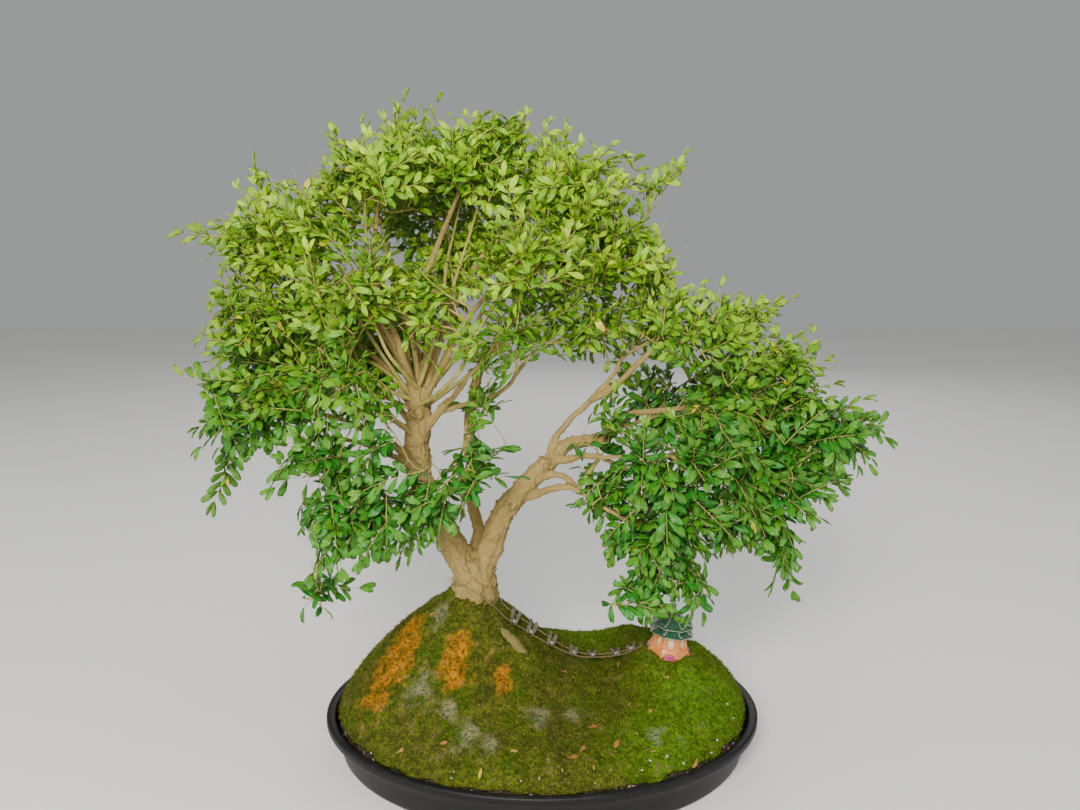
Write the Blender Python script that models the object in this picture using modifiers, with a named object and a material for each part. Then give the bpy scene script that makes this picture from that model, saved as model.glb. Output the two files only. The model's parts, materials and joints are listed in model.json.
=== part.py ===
"""A boxwood bonsai in a shallow oval pot, on a moss mound with a toy rope bridge and a small pavilion.

Metres, +Z up. The origin is the middle of the pot's flat underside, and the front of the planting faces -Y.
Routes and places are in millimetres and are turned into metres where a mesh is made.
"""
import itertools
import math
import random

import bmesh
import bpy
from mathutils import Matrix, Vector
from mathutils.bvhtree import BVHTree

MM = 0.001

# Pot: a shallow oval tray with a turned-out lip
POT_LENGTH = 420.0
POT_WIDTH = 322.0
POT_HEIGHT = 40.0
POT_LIP_WIDTH = 8.0
POT_LIP_HEIGHT = 8.0
POT_WALL = 3.5
POT_FLOOR = 4.5
POT_TAPER = 7.0
POT_FILLET = 5.0
POT_FOOT_ROUND = 3.0
POT_LIP_ROUND = 1.5
POT_SEGMENTS = 40

# Mound of soil and its moss
EDGE_HEIGHT = 36.0
MOSS_REACH = 197.4
MOSS_THICKNESS = 5.0
GROUND_RINGS = (0.2, 0.4, 0.6, 0.76, 0.88, 0.95, 1.0)
GROUND_SEGMENTS = 20
EDGE_STEEPNESS = 6.0
BASE_RISE = 22.0
PEAK = {"x": -72.0, "y": 5.0, "rise": 96.0, "left": 105.0, "right": 80.0, "front": 70.0, "back": 85.0}
HILL = {"x": 135.0, "y": -4.0, "rise": 42.0, "left": 60.0, "right": 110.0, "front": 78.0, "back": 75.0}
HUMP = {"x": 85.0, "y": 62.0, "rise": 22.0, "left": 45.0, "right": 45.0, "front": 40.0, "back": 45.0}

# Clearance between pieces that touch, and round the wood where it passes through soil, moss and foliage
GAP = 0.4
WOOD_GAP = 0.5

# Edges sharper than this stay sharp
SHARP_ANGLE = math.radians(40.0)

# Leaves and leafy shoots
LEAF_LENGTH = 25.0
LEAF_WIDTH = 9.0
LEAF_THICKNESS = 0.9
LEAF_SIZES = (0.88, 1.05)
LEAF_WIDEST = 0.6
LEAF_FOOT = 1.3
LEAF_ANGLE = math.radians(54.0)
LEAF_STEP = 11.6
RIB_HALF = 0.9
TERMINAL_LENGTH = 24.0
FIRST_PAIR = 3.0
ROOT_DEPTH = 9.0
PROBE_START = 0.8
LEAST_SHOOTS = 3
AREA_A_SHOOT = 2700.0
LEAST_LEAN = 0.08
MOST_LEAN = 0.3
LEAST_HEADROOM = 4.0
ROLLS = 40
ROLL_LIMIT = 0.8
PROBE_MARGIN = 0.6
DROOP = (2.0, 9.0)
CUP = (-3.0, 6.0)
FACE_OUT = Vector((0.0, -0.75, 0.66))

# The dense inside of a spray, as shares of its half sizes
CORE_REACH = (0.56, 0.68)
TUFT_REACH = (0.96, 1.2)
LEAST_TUFT = 0.76
SWELL = 1.03
DRAWS = 60
DRAW_STEP = 0.95
# Each spray's seeds are its place in the list over these
CORE_SEED = 100
SHOOT_SEED = 500

# Pavilion: a glazed miniature with eight sides
PAVILION_PLACE = (122.0, -8.0, 97.0)
PAVILION_LEAN = math.radians(7.0)
PAVILION_TURN = math.radians(-5.0)
PAVILION_BASE = 23.5
PAVILION_SIDES = 8
# The moss that the pavilion is pressed into: how far the level patch reaches, and how deep the foot sinks in
PAVILION_PAD = 34.0
PAD_REACH = 1.6
PAVILION_SINK = 1.6
SEAT_MARGIN = 2.5
SEAT_DEPTH = 40.0

# Rope bridge
ROPE_DIAMETER = 1.0
ROPE_POINTS = 17
SLAT_LENGTH = 18.0
SLAT_WIDTH = 5.4
SLAT_THICKNESS = 1.5
SLAT_OVERHANG = 2.5
SLAT_SPREAD = 3.4
SLAT_CHECKS = 6
SLAT_PLACES = (-28.0, -12.0, 8.0, 30.0, 49.0, 72.0, 87.0)
KNOT_RADIUS = 1.5
KNOT_REST = 0.8
TRUNK_SIDE_HEIGHT = 150.0
TRUNK_KNOT = (-86.4, -7.8, 168.0)
TRUNK_KNOT_RADIUS = 2.6

# Trunk, limbs and roots: each point is (x, y, z, radius)
LIMB_END_RADIUS = 2.2
ROUND_LIMBS = ("left_trunk", "right_limb")
THIN_LIMB = 4.5
TRUNK = [(-67, 2, 112, 24), (-65, 0, 150, 22), (-65, 0, 168, 19.3), (-66, 0, 190, 16)]
LIMBS = {
    "left_trunk": [
        (-66, 0, 172, 14), (-81, 0, 194, 13), (-91, -2, 214, 12), (-104, -6, 243, 11.5),
        (-114, -8, 273, 11.5), (-116, -8, 306, 12), (-113, -4, 336, 11), (-112, 0, 354, 8.5),
    ],
    "right_limb": [
        (-60, 0, 172, 13), (-50, 0, 198, 12), (-39, -2, 229, 11), (-21, -4, 255, 10),
        (-4, -4, 273, 9), (5, -4, 285, 8),
    ],
    "mid_stem": [
        (-61, 3, 176, 8), (-63, 14, 212, 6), (-69, 18, 251, 5.5), (-71, 20, 290, 5),
        (-69, 22, 319, 5), (-65, 24, 348, 4.5), (-55, 24, 381, 4),
    ],
    "crown_left_top": [(-114, -4, 336, 6), (-125, -12, 381, 5), (-139, -20, 422, 4.5), (-148, -22, 467, 4),
                       (-146, -18, 500, 3.2)],
    "crown_mid_top": [(-112, 0, 340, 6), (-115, 5, 388, 5), (-112, 10, 434, 4.5), (-97, 15, 479, 4)],
    "crown_right_top": [(-110, 0, 338, 6), (-96, -2, 389, 5), (-76, -4, 435, 4.5), (-47, -4, 480, 3.5)],
    "crown_back": [(-112, 2, 342, 6), (-112, 40, 384, 5), (-105, 80, 439, 4)],
    "crown_front": [(-110, -2, 340, 5), (-86, -25, 383, 4), (-66, -45, 419, 3.5)],
    "left_upper": [(-114, -2, 336, 6), (-134, -6, 390, 5), (-164, -10, 433, 4), (-193, -12, 467, 3.5)],
    "left_low": [(-116, 0, 328, 5.5), (-147, 10, 373, 4.5), (-184, 14, 398, 3.5)],
    "left_inner": [(-129, -5, 378, 4), (-142, -32, 418, 3)],
    "left_mid": [(-116, -8, 284, 6), (-139, -9, 303, 4.5), (-159, -10, 314, 4.2), (-189, -10, 327, 3.5),
                 (-232, -10, 336, 2.8)],
    "left_mid_inner": [(-116, -10, 308, 5), (-134, -34, 332, 3.5)],
    "left_back": [(-114, -2, 310, 5), (-152, 55, 337, 4)],
    "crown_right": [(-58, 24, 372, 3.8), (-28, 16, 415, 3.5), (14, 6, 446, 3)],
    "centre_front": [(-110, -8, 314, 6), (-84, -20, 346, 4.5), (-66, -38, 368, 3.5)],
    "centre_right": [(-94, -14, 334, 4), (-68, -10, 341, 3.5), (-50, -8, 346, 3.5), (-32, -6, 356, 3.2),
                     (-20, -4, 372, 3), (-7, -2, 387, 2.8)],
    "lower_left": [(-110, -8, 262, 6), (-130, -20, 254, 4.5), (-144, -34, 251, 3.5)],
    "centre_low": [(-102, -6, 242, 5), (-94, -26, 254, 3.5)],
    "right_upper": [(4, -4, 278, 6), (9, -4, 300, 5), (26, -5, 324, 4.5), (47, -6, 345, 4),
                    (65, -6, 368, 3.5), (80, -6, 388, 3)],
    "right_mid": [(0, -4, 278, 8), (22, -5, 298, 6.5), (38, -5, 303, 5.5), (52, -6, 306, 4.5),
                  (64, -6, 312, 4), (83, -6, 330, 3.5), (105, -6, 333, 3)],
    "right_far": [(178, -5, 338, 2.4), (234, -8, 322, 2.2)],
    "right_back": [(34, -4, 302, 4.5), (67, 40, 305, 3.5)],
    "right_front": [(8, -5, 284, 6), (30, -18, 292, 5), (45, -32, 297, 4), (62, -46, 299, 3)],
    "right_low_far": [(50, -36, 298, 3.2), (99, -26, 272, 2.8), (145, -22, 260, 2.4)],
    "right_low": [(-14, -5, 250, 6), (3, -12, 258, 5), (15, -18, 264, 4.5), (32, -26, 262, 3.5),
                  (54, -34, 250, 3)],
}
TWIN_LIMBS = [
    [(46, -6, 344, 3.5), (66, -9, 356, 3), (83, -12, 374, 2.8), (102, -13, 394, 2.4)],
    [(-6, -4, 268, 3.5), (19, -13, 273, 3), (36, -20, 259, 2.6)],
    [(-114, -10, 280, 3.4), (-155, -22, 303, 2.6), (-184, -26, 312, 2.2)],
    [(-112, 0, 350, 3.4), (-118, -4, 396, 2.8), (-130, -8, 452, 2.2)],
    [(-111, 0, 350, 3.4), (-104, 4, 410, 2.8), (-101, 6, 462, 2.2)],
]
ROOTS = [
    [(-68, 0, 125, 14), (-95, -8, 100, 9), (-128, -14, 74, 6), (-155, -12, 50, 3.5)],
    [(-64, -4, 125, 14), (-60, -38, 98, 9), (-52, -74, 70, 6), (-50, -104, 46, 3.5)],
    [(-64, 4, 125, 14), (-70, 42, 100, 9), (-62, 80, 72, 6), (-48, 112, 46, 3.5)],
    [(-60, 2, 122, 13), (-28, 14, 86, 9), (8, 22, 58, 6), (48, 16, 38, 3.5)],
]
# The root that shows on the mound's right slope: (x, y, height over the moss, radius)
SURFACE_ROOT = [(-60, -10, -16, 9), (-46, -20, -9, 6.5), (-34, -26, -1.5, 5.5), (-18, -31, -1, 5),
                (-4, -35, -9, 3.5)]

# Sprays of foliage: middle and half sizes of each
SPRAYS = {
    "crown_left_top": ((-143, -5, 548), (60, 66, 39)),
    "crown_mid_top": ((-66, 25, 556), (52, 66, 39)),
    "crown_right_top": ((18, 0, 537), (56, 62, 38)),
    "crown_back": ((-94, 104, 520), (105, 58, 60)),
    "crown_front": ((-19, -62, 474), (52, 46, 36)),
    "left_upper": ((-234, -10, 496), (60, 62, 42)),
    "left_low": ((-261, 18, 422), (66, 58, 34)),
    "left_inner": ((-166, -58, 457), (44, 42, 40)),
    "left_mid": ((-268, -10, 342), (66, 60, 42)),
    "left_mid_inner": ((-172, -56, 360), (44, 42, 32)),
    "left_back": ((-220, 92, 396), (84, 56, 60)),
    "crown_right": ((71, -5, 481), (54, 58, 38)),
    "centre_front": ((-34, -62, 405), (49, 44, 32)),
    "centre_right": ((46, 0, 412), (46, 52, 30)),
    "right_upper": ((143, -5, 415), (66, 60, 32)),
    "right_back": ((165, 86, 323), (98, 58, 56)),
    "right_mid": ((178, -5, 339), (54, 52, 36)),
    "right_far": ((262, -10, 316), (48, 48, 36)),
    "right_front": ((112, -66, 305), (56, 44, 34)),
    "right_low": ((102, -46, 226), (52, 44, 42)),
    "right_low_far": ((204, -20, 247), (44, 44, 46)),
    "lower_left": ((-185, -52, 243), (54, 48, 50)),
    "centre_low": ((-81, -58, 271), (50, 42, 38)),
}
# The furthest tips: spray and the point that its long shoot reaches
TIPS = [
    ("left_mid", (-333, -15, 380)),
    ("left_mid", (-303, -20, 252)),
    ("left_low", (-329, 10, 434)),
    ("left_upper", (-316, -12, 489)),
    ("left_upper", (-251, -10, 553)),
    ("crown_left_top", (-194, -5, 583)),
    ("crown_left_top", (-124, -5, 607)),
    ("crown_mid_top", (-56, 20, 605)),
    ("crown_right_top", (23, 0, 588)),
    ("crown_right_top", (62, 0, 562)),
    ("crown_right", (124, -5, 559)),
    ("crown_right", (123, -5, 492)),
    ("right_upper", (224, -5, 433)),
    ("right_mid", (258, -5, 379)),
    ("right_far", (324, -10, 325)),
    ("right_far", (304, -15, 289)),
    ("right_low_far", (257, -20, 254)),
    ("right_low_far", (238, -20, 164)),
    ("right_low", (99, -46, 160)),
    ("right_low", (144, -46, 176)),
    ("right_low", (45, -50, 228)),
    ("lower_left", (-234, -50, 166)),
    ("lower_left", (-245, -60, 194)),
    ("centre_low", (-131, -60, 213)),
    ("centre_low", (-24, -60, 291)),
    ("crown_back", (-94, 172, 520)),
    ("left_back", (-220, 156, 396)),
    ("right_back", (165, 152, 323)),
]

COLOURS = {
    "pot": ((0.018, 0.018, 0.02), 0.55),
    "soil": ((0.07, 0.045, 0.03), 0.95),
    "moss": ((0.13, 0.19, 0.03), 0.95),
    "bark": ((0.42, 0.33, 0.2), 0.85),
    "leaf": ((0.17, 0.36, 0.04), 0.45),
    "ceramic": ((0.75, 0.34, 0.09), 0.2),
    "rope": ((0.5, 0.4, 0.32), 0.9),
    "slat": ((0.35, 0.36, 0.28), 0.8),
    "knot": ((0.8, 0.78, 0.7), 0.9),
}


def clear_scene():
    for thing in list(bpy.data.objects):
        bpy.data.objects.remove(thing, do_unlink=True)


def collection(name):
    made = bpy.data.collections.new(name)
    bpy.context.scene.collection.children.link(made)
    return made


def material_for(name, kind):
    colour, roughness = COLOURS[kind]
    made = bpy.data.materials.new(name + "_" + kind)
    made.use_nodes = True
    shader = made.node_tree.nodes["Principled BSDF"]
    shader.inputs["Base Color"].default_value = (*colour, 1.0)
    shader.inputs["Roughness"].default_value = roughness
    return made


def object_of(bm, name, home):
    """A new object from a bmesh whose lengths are in millimetres."""
    bmesh.ops.scale(bm, vec=(MM, MM, MM), verts=bm.verts)
    mesh = bpy.data.meshes.new(name)
    bm.to_mesh(mesh)
    bm.free()
    made = bpy.data.objects.new(name, mesh)
    home.objects.link(made)
    return made


def applied(thing, weld=0.001 * MM):
    """The object with its modifiers applied, in a fresh mesh with its own place baked in."""
    graph = bpy.context.evaluated_depsgraph_get()
    mesh = bpy.data.meshes.new_from_object(thing.evaluated_get(graph))
    mesh.transform(thing.matrix_world)
    if weld:
        bm = bmesh.new()
        bm.from_mesh(mesh)
        bmesh.ops.remove_doubles(bm, verts=bm.verts, dist=weld)
        bm.to_mesh(mesh)
        bm.free()
    name = thing.name
    home = thing.users_collection[0]
    bpy.data.objects.remove(thing, do_unlink=True)
    made = bpy.data.objects.new(name, mesh)
    home.objects.link(made)
    return made


def finish(thing, kind):
    """Give a finished piece its material and smooth shading with sharp edges."""
    thing.data.materials.clear()
    thing.data.materials.append(material_for(thing.name, kind))
    thing.data.shade_smooth()
    thing.data.set_sharp_from_angle(angle=SHARP_ANGLE)


def tube(name, route, home, sides=6, grow=0.0):
    """A tapering tube through (x, y, z, radius) points, closed at both ends."""
    curve = bpy.data.curves.new(name, "CURVE")
    curve.dimensions = "3D"
    curve.resolution_u = 1
    curve.render_resolution_u = 0
    curve.bevel_depth = MM
    curve.bevel_resolution = sides // 2 - 2
    curve.use_fill_caps = True
    points = [list(p) for p in route]
    if grow:
        last = Vector(points[-1][:3])
        ahead = (last - Vector(points[-2][:3])).normalized()
        points[-1][:3] = last + ahead * grow
    spline = curve.splines.new("POLY")
    spline.points.add(len(points) - 1)
    for point, (x, y, z, radius) in zip(spline.points, points):
        point.co = (x * MM, y * MM, z * MM, 1.0)
        point.radius = radius + grow
    made = bpy.data.objects.new(name, curve)
    home.objects.link(made)
    return applied(made)


def join_with(thing, others):
    """Join every object of a collection to an object, then remove that collection's objects."""
    change = thing.modifiers.new("join", "BOOLEAN")
    change.operation = "UNION"
    change.operand_type = "COLLECTION"
    change.collection = others
    change.solver = "MANIFOLD"
    made = applied(thing, weld=0.0)
    for other in list(others.objects):
        bpy.data.objects.remove(other, do_unlink=True)
    return made


def cut_with(thing, cutter):
    change = thing.modifiers.new("cut", "BOOLEAN")
    change.operation = "DIFFERENCE"
    change.object = cutter
    change.solver = "MANIFOLD"
    return applied(thing, weld=0.0)


def keep_largest(thing):
    """Drop the loose scraps that a cut leaves and keep the piece with most points.

    Its faces are split into even triangles.
    """
    bm = bmesh.new()
    bm.from_mesh(thing.data)
    left = set(bm.verts)
    groups = []
    while left:
        first = left.pop()
        group = {first}
        edge_of_group = [first]
        while edge_of_group:
            vert = edge_of_group.pop()
            for edge in vert.link_edges:
                other = edge.other_vert(vert)
                if other not in group:
                    group.add(other)
                    edge_of_group.append(other)
        left -= group
        groups.append(group)
    groups.sort(key=len, reverse=True)
    scraps = [vert for group in groups[1:] for vert in group]
    if scraps:
        bmesh.ops.delete(bm, geom=scraps, context="VERTS")
    bmesh.ops.triangulate(bm, faces=bm.faces[:], quad_method="BEAUTY", ngon_method="BEAUTY")
    bm.to_mesh(thing.data)
    bm.free()


def turned(name, profile, steps, across, home):
    """A profile of (radius, height) points turned round Z, then squeezed in Y by the share across."""
    bm = bmesh.new()
    verts = [bm.verts.new((radius, 0.0, height)) for radius, height in profile]
    for first, second in zip(verts, verts[1:]):
        bm.edges.new((first, second))
    made = object_of(bm, name, home)
    screw = made.modifiers.new("turn", "SCREW")
    screw.steps = steps
    screw.render_steps = steps
    screw.use_merge_vertices = True
    screw.merge_threshold = 0.001 * MM
    made = applied(made)
    made.data.transform(Matrix.Diagonal((1.0, across, 1.0, 1.0)))
    return made


def bump(place, x, y):
    wide = place["left"] if x < place["x"] else place["right"]
    deep = place["front"] if y < place["y"] else place["back"]
    return place["rise"] * math.exp(-((x - place["x"]) / wide) ** 2 - ((y - place["y"]) / deep) ** 2)


def ground_height(x, y):
    """Height of the moss over the table at a point of the mound, in millimetres."""
    share = min(1.0, math.hypot(x, y * POT_LENGTH / POT_WIDTH) / MOSS_REACH)
    rise = BASE_RISE + bump(PEAK, x, y) + bump(HILL, x, y) + bump(HUMP, x, y)
    height = EDGE_HEIGHT + rise * math.sqrt(1.0 - share ** EDGE_STEEPNESS)
    px, py, pz = PAVILION_PLACE
    away = math.hypot(x - px, y - py)
    blend = min(1.0, max(0.0, PAD_REACH - away / PAVILION_PAD))
    seat = pz + PAVILION_SINK - (x - px) * math.tan(PAVILION_LEAN)
    return height + (seat - height) * blend * blend * (3.0 - 2.0 * blend)


def make_pot(home):
    rim = POT_LENGTH / 2
    lip_in = rim - POT_LIP_WIDTH
    wall_top = POT_HEIGHT - POT_LIP_HEIGHT
    foot = lip_in - POT_TAPER
    profile = [
        (0.0, POT_FLOOR),
        (foot - 2 * POT_WALL, POT_FLOOR),
        (foot - POT_WALL, POT_FLOOR + POT_FILLET),
        (lip_in - 2.0, POT_HEIGHT - 4.0),
        (lip_in, POT_HEIGHT),
        (rim - POT_LIP_ROUND, POT_HEIGHT),
        (rim, POT_HEIGHT - POT_LIP_ROUND),
        (rim, wall_top + 1.0),
        (rim - 1.0, wall_top),
        (lip_in + 1.5, wall_top - 0.5),
        (foot, POT_FOOT_ROUND),
        (foot - POT_FOOT_ROUND, 0.0),
        (0.0, 0.0),
    ]
    pot = turned("pot", profile, POT_SEGMENTS, POT_WIDTH / POT_LENGTH, home)
    finish(pot, "pot")


def ring_of(vert):
    return math.hypot(vert.co.x, vert.co.y * POT_LENGTH / POT_WIDTH)


def split_alike(thing):
    """Split a turned disc's quads by one rule, so that soil and moss fit each other once they are lifted."""
    bm = bmesh.new()
    bm.from_mesh(thing.data)
    for face in [face for face in bm.faces if len(face.verts) == 4]:
        first, second, third, fourth = face.verts
        pairs = [sorted(pair, key=ring_of) for pair in ((first, third), (second, fourth))]
        near, far = max(pairs, key=lambda pair: pair[0].co.xy.to_3d().cross(pair[1].co.xy.to_3d()).z)
        bmesh.utils.face_split(face, near, far)
    bm.to_mesh(thing.data)
    bm.free()


def lift_ground(thing, low, below):
    """Raise a flat disc's points over the height low to the mound, at a distance below the moss."""
    split_alike(thing)
    for vert in thing.data.vertices:
        x, y, z = (value / MM for value in vert.co)
        if z > low:
            vert.co.z = (ground_height(x, y) - below(z)) * MM


def make_ground(home, cutter, seat):
    """The soil that fills the pot and rises into the mound, and the moss carpet on it."""
    across = POT_WIDTH / POT_LENGTH
    foot = POT_LENGTH / 2 - POT_LIP_WIDTH - POT_TAPER
    rings = [(share * MOSS_REACH, 0.0) for share in GROUND_RINGS]
    flag = 1000.0
    top = [(0.0, flag)] + [(radius, flag) for radius, _ in rings]
    soil_profile = top + [
        (foot - POT_WALL - GAP, POT_FLOOR + POT_FILLET + GAP),
        (foot - 2 * POT_WALL - GAP, POT_FLOOR + GAP),
        (0.0, POT_FLOOR + GAP),
    ]
    soil = turned("soil", soil_profile, GROUND_SEGMENTS, across, home)
    lift_ground(soil, flag - 1.0, lambda z: MOSS_THICKNESS)
    moss_profile = top + [(radius, flag - 10.0) for radius, _ in reversed(rings)] + [(0.0, flag - 10.0)]
    moss = turned("moss", moss_profile, GROUND_SEGMENTS, across, home)
    thick = MOSS_THICKNESS - GAP
    lift_ground(moss, flag - 20.0, lambda z: 0.0 if z > flag - 5.0 else thick)
    for thing, kind in ((soil, "soil"), (moss, "moss")):
        thing = cut_with(thing, cutter)
        thing = cut_with(thing, seat)
        keep_largest(thing)
        finish(thing, kind)


def tree_tubes(home, grow=0.0):
    """Trunk, limbs and roots as tubes that run well into each other, each spray's limb up to its middle."""
    tubes = [tube("trunk", TRUNK, home, sides=8, grow=grow)]
    for name, route in LIMBS.items():
        whole = list(route)
        if name in SPRAYS:
            whole.append((*SPRAYS[name][0], LIMB_END_RADIUS))
        sides = 8 if name in ROUND_LIMBS else 6 if route[0][3] > THIN_LIMB else 4
        tubes.append(tube(name + "_limb", whole, home, sides=sides, grow=grow))
    for route in TWIN_LIMBS:
        tubes.append(tube("twin_limb", route, home, sides=4, grow=grow))
    for route in ROOTS:
        tubes.append(tube("root", route, home, grow=grow))
    surface = [(x, y, ground_height(x, y) + over, radius) for x, y, over, radius in SURFACE_ROOT]
    tubes.append(tube("surface_root", surface, home, grow=grow))
    return tubes


def fused_tree(name, home, loose, grow=0.0):
    first, *rest = tree_tubes(loose, grow)
    loose.objects.unlink(first)
    home.objects.link(first)
    first.name = name
    tree = join_with(first, loose)
    keep_largest(tree)
    return tree


def shoot_outline(pairs, stub, leaf):
    """Right side of a leafy shoot from its foot to its end leaf, cut to the rib between leaves."""
    side = [(0.0, RIB_HALF, 0.0)]
    along = Vector((math.cos(LEAF_ANGLE), math.sin(LEAF_ANGLE)))
    beside = Vector((-along.y, along.x)) * LEAF_WIDTH / 2
    for pair in range(pairs):
        foot = stub + pair * LEAF_STEP
        root = Vector((foot, RIB_HALF))
        if pair:
            side.append((foot - LEAF_FOOT, RIB_HALF, 0.0))
        middle = root + along * leaf * LEAF_WIDEST
        tip = root + along * leaf
        side.append((*(middle + beside), 0.5))
        side.append((*tip, 1.0))
        side.append((*(middle - beside), 0.5))
        side.append((foot + LEAF_FOOT, RIB_HALF, 0.0))
    end = stub + (pairs - 1) * LEAF_STEP
    side.append((end + TERMINAL_LENGTH * 0.55, LEAF_WIDTH / 2, 0.4))
    return side, (end + TERMINAL_LENGTH, 0.0, 0.8)


def leafy_shoot(pairs, stub, rng, thick=LEAF_THICKNESS):
    """One thin arched blade whose outline is a stem with opposite leaves, along +X and face up."""
    leaf = LEAF_LENGTH * rng.uniform(*LEAF_SIZES)
    side, tip = shoot_outline(pairs, stub, leaf)
    outline = [(x, -y, curl) for x, y, curl in side] + [tip] + [(x, y, curl) for x, y, curl in reversed(side)]
    reach = tip[0]
    droop = rng.uniform(*DROOP)
    cup = rng.uniform(*CUP)
    bm = bmesh.new()
    verts = [bm.verts.new((x, y, 0.0)) for x, y, _ in outline]
    face = bm.faces.new(verts)
    face.normal_update()
    bmesh.ops.triangulate(bm, faces=[face])
    for vert, (x, _, curl) in zip(verts, outline):
        vert.co.z = cup * curl - droop * (x / reach) ** 2
    made = bmesh.ops.extrude_face_region(bm, geom=bm.faces[:])
    for piece in made["geom"]:
        if isinstance(piece, bmesh.types.BMVert):
            piece.co.z += thick
    bmesh.ops.recalc_face_normals(bm, faces=bm.faces)
    return bm


def aim(start, ahead, roll):
    """A matrix that lays a shoot's +X along ahead from start, turned round it by roll."""
    ahead = ahead.normalized()
    side = FACE_OUT.cross(ahead).normalized()
    turn = Matrix((ahead, side, ahead.cross(side))).transposed()
    return Matrix.Translation(start) @ turn.to_4x4() @ Matrix.Rotation(roll, 4, "X")


def leafy_core(name, middle, half, rng):
    """The dense inside of a spray: a small mass whose every face is drawn out into a pointed tuft of leaves.

    It holds, for each of its points, the way out from its middle and how far it reaches, and which tufts
    carry a shoot with how many pairs of leaves.
    """
    size = Vector(half)
    centre = Vector(middle)
    bm = bmesh.new()
    bmesh.ops.create_icosphere(bm, subdivisions=1, radius=1.0)
    bm.transform(Matrix.Rotation(rng.uniform(0.0, math.pi), 4, "Z"))
    bmesh.ops.poke(bm, faces=bm.faces[:])
    bm.verts.index_update()
    tufts = [vert.index for vert in bm.verts if len(vert.link_faces) == 3]
    ways = [vert.co.normalized() for vert in bm.verts]
    reach = [rng.uniform(*(TUFT_REACH if vert.index in tufts else CORE_REACH)) for vert in bm.verts]
    faces = [[vert.index for vert in face.verts] for face in bm.faces]
    bm.free()
    shoots = []
    taken = [scaled_way(Vector(LIMBS[name][-1][:3]) - centre, size)]
    for tip in [Vector(tip) for owner, tip in TIPS if owner == name]:
        way = scaled_way(tip - centre, size)
        tuft = min(tufts, key=lambda index: ways[index].angle(way))
        far = (tip - centre).length
        extent = Vector(a * b for a, b in zip(way, size)).length
        pairs = 3 if far - shoot_length(3) > LEAST_TUFT * extent else 2
        ways[tuft] = way
        reach[tuft] = max(LEAST_TUFT, (far - shoot_length(pairs)) / extent)
        taken.append(way)
        shoots.append((tuft, pairs))
    area = size.x * size.y + size.y * size.z + size.x * size.z
    wanted = max(LEAST_SHOOTS, round(area / AREA_A_SHOOT), len(shoots) + 1)
    while len(shoots) < wanted:
        tuft = max(tufts, key=lambda index: min(ways[index].angle(other) for other in taken))
        reach[tuft] = LEAST_TUFT
        taken.append(ways[tuft])
        shoots.append((tuft, 2))
    return {"centre": centre, "size": size, "ways": ways, "reach": reach, "faces": faces, "tufts": tufts,
            "shoots": shoots}


def core_points(core, swell=1.0):
    centre, size = core["centre"], core["size"]
    return [
        centre + Vector(a * b for a, b in zip(way, size)) * reach * swell
        for way, reach in zip(core["ways"], core["reach"])
    ]


def draw_in(cores):
    """Where two sprays' insides meet, draw in the tufts that cross until all are clear of each other."""
    names = list(cores)
    for _ in range(DRAWS):
        trees = {}
        for name in names:
            trees[name] = BVHTree.FromPolygons(core_points(cores[name], SWELL), cores[name]["faces"])
        crossed = set()
        for first, second in itertools.combinations(names, 2):
            for pair in trees[first].overlap(trees[second]):
                for name, face in zip((first, second), pair):
                    crossed.update((name, index) for index in cores[name]["faces"][face])
        if not crossed:
            return
        for name, index in crossed:
            if index in cores[name]["tufts"]:
                cores[name]["reach"][index] = max(CORE_REACH[0], cores[name]["reach"][index] * DRAW_STEP)
            else:
                cores[name]["reach"][index] *= math.sqrt(DRAW_STEP)


def scaled_way(way, size):
    """A direction as seen from the middle of a spray that is drawn as a ball."""
    return Vector(a / b for a, b in zip(way, size)).normalized()


def shoot_length(pairs):
    """From the tuft's tip to the tip of the end leaf."""
    return FIRST_PAIR + (pairs - 1) * LEAF_STEP + TERMINAL_LENGTH


def tree_of(thing):
    bm = bmesh.new()
    bm.from_mesh(thing.data)
    bmesh.ops.scale(bm, vec=(1 / MM,) * 3, verts=bm.verts)
    made = BVHTree.FromBMesh(bm)
    bm.free()
    return made


def make_sprays(home, loose, solids, cutter):
    """Each spray of foliage: its core, the shoots that stand out of it, and the socket for its limb."""
    cores = {}
    for index, (name, (middle, half)) in enumerate(SPRAYS.items()):
        cores[name] = leafy_core(name, middle, half, random.Random(CORE_SEED + index))
    draw_in(cores)
    walls = [tree_of(thing) for thing in solids]
    walls += [BVHTree.FromPolygons(core_points(core), core["faces"]) for core in cores.values()]
    for index, (name, core) in enumerate(cores.items()):
        rng = random.Random(SHOOT_SEED + index)
        points = core_points(core)
        for tuft, pairs in core["shoots"]:
            way = (points[tuft] - core["centre"]).normalized()
            shoot, clear = placed_shoot(points[tuft], way, pairs, rng, walls)
            if shoot:
                walls.append(clear)
                object_of(shoot, "shoot", loose)
        bm = bmesh.new()
        verts = [bm.verts.new(point) for point in points]
        for face in core["faces"]:
            bm.faces.new([verts[corner] for corner in face])
        spray = join_with(object_of(bm, "spray_" + name, home), loose)
        spray = cut_with(spray, cutter)
        keep_largest(spray)
        finish(spray, "leaf")


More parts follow.
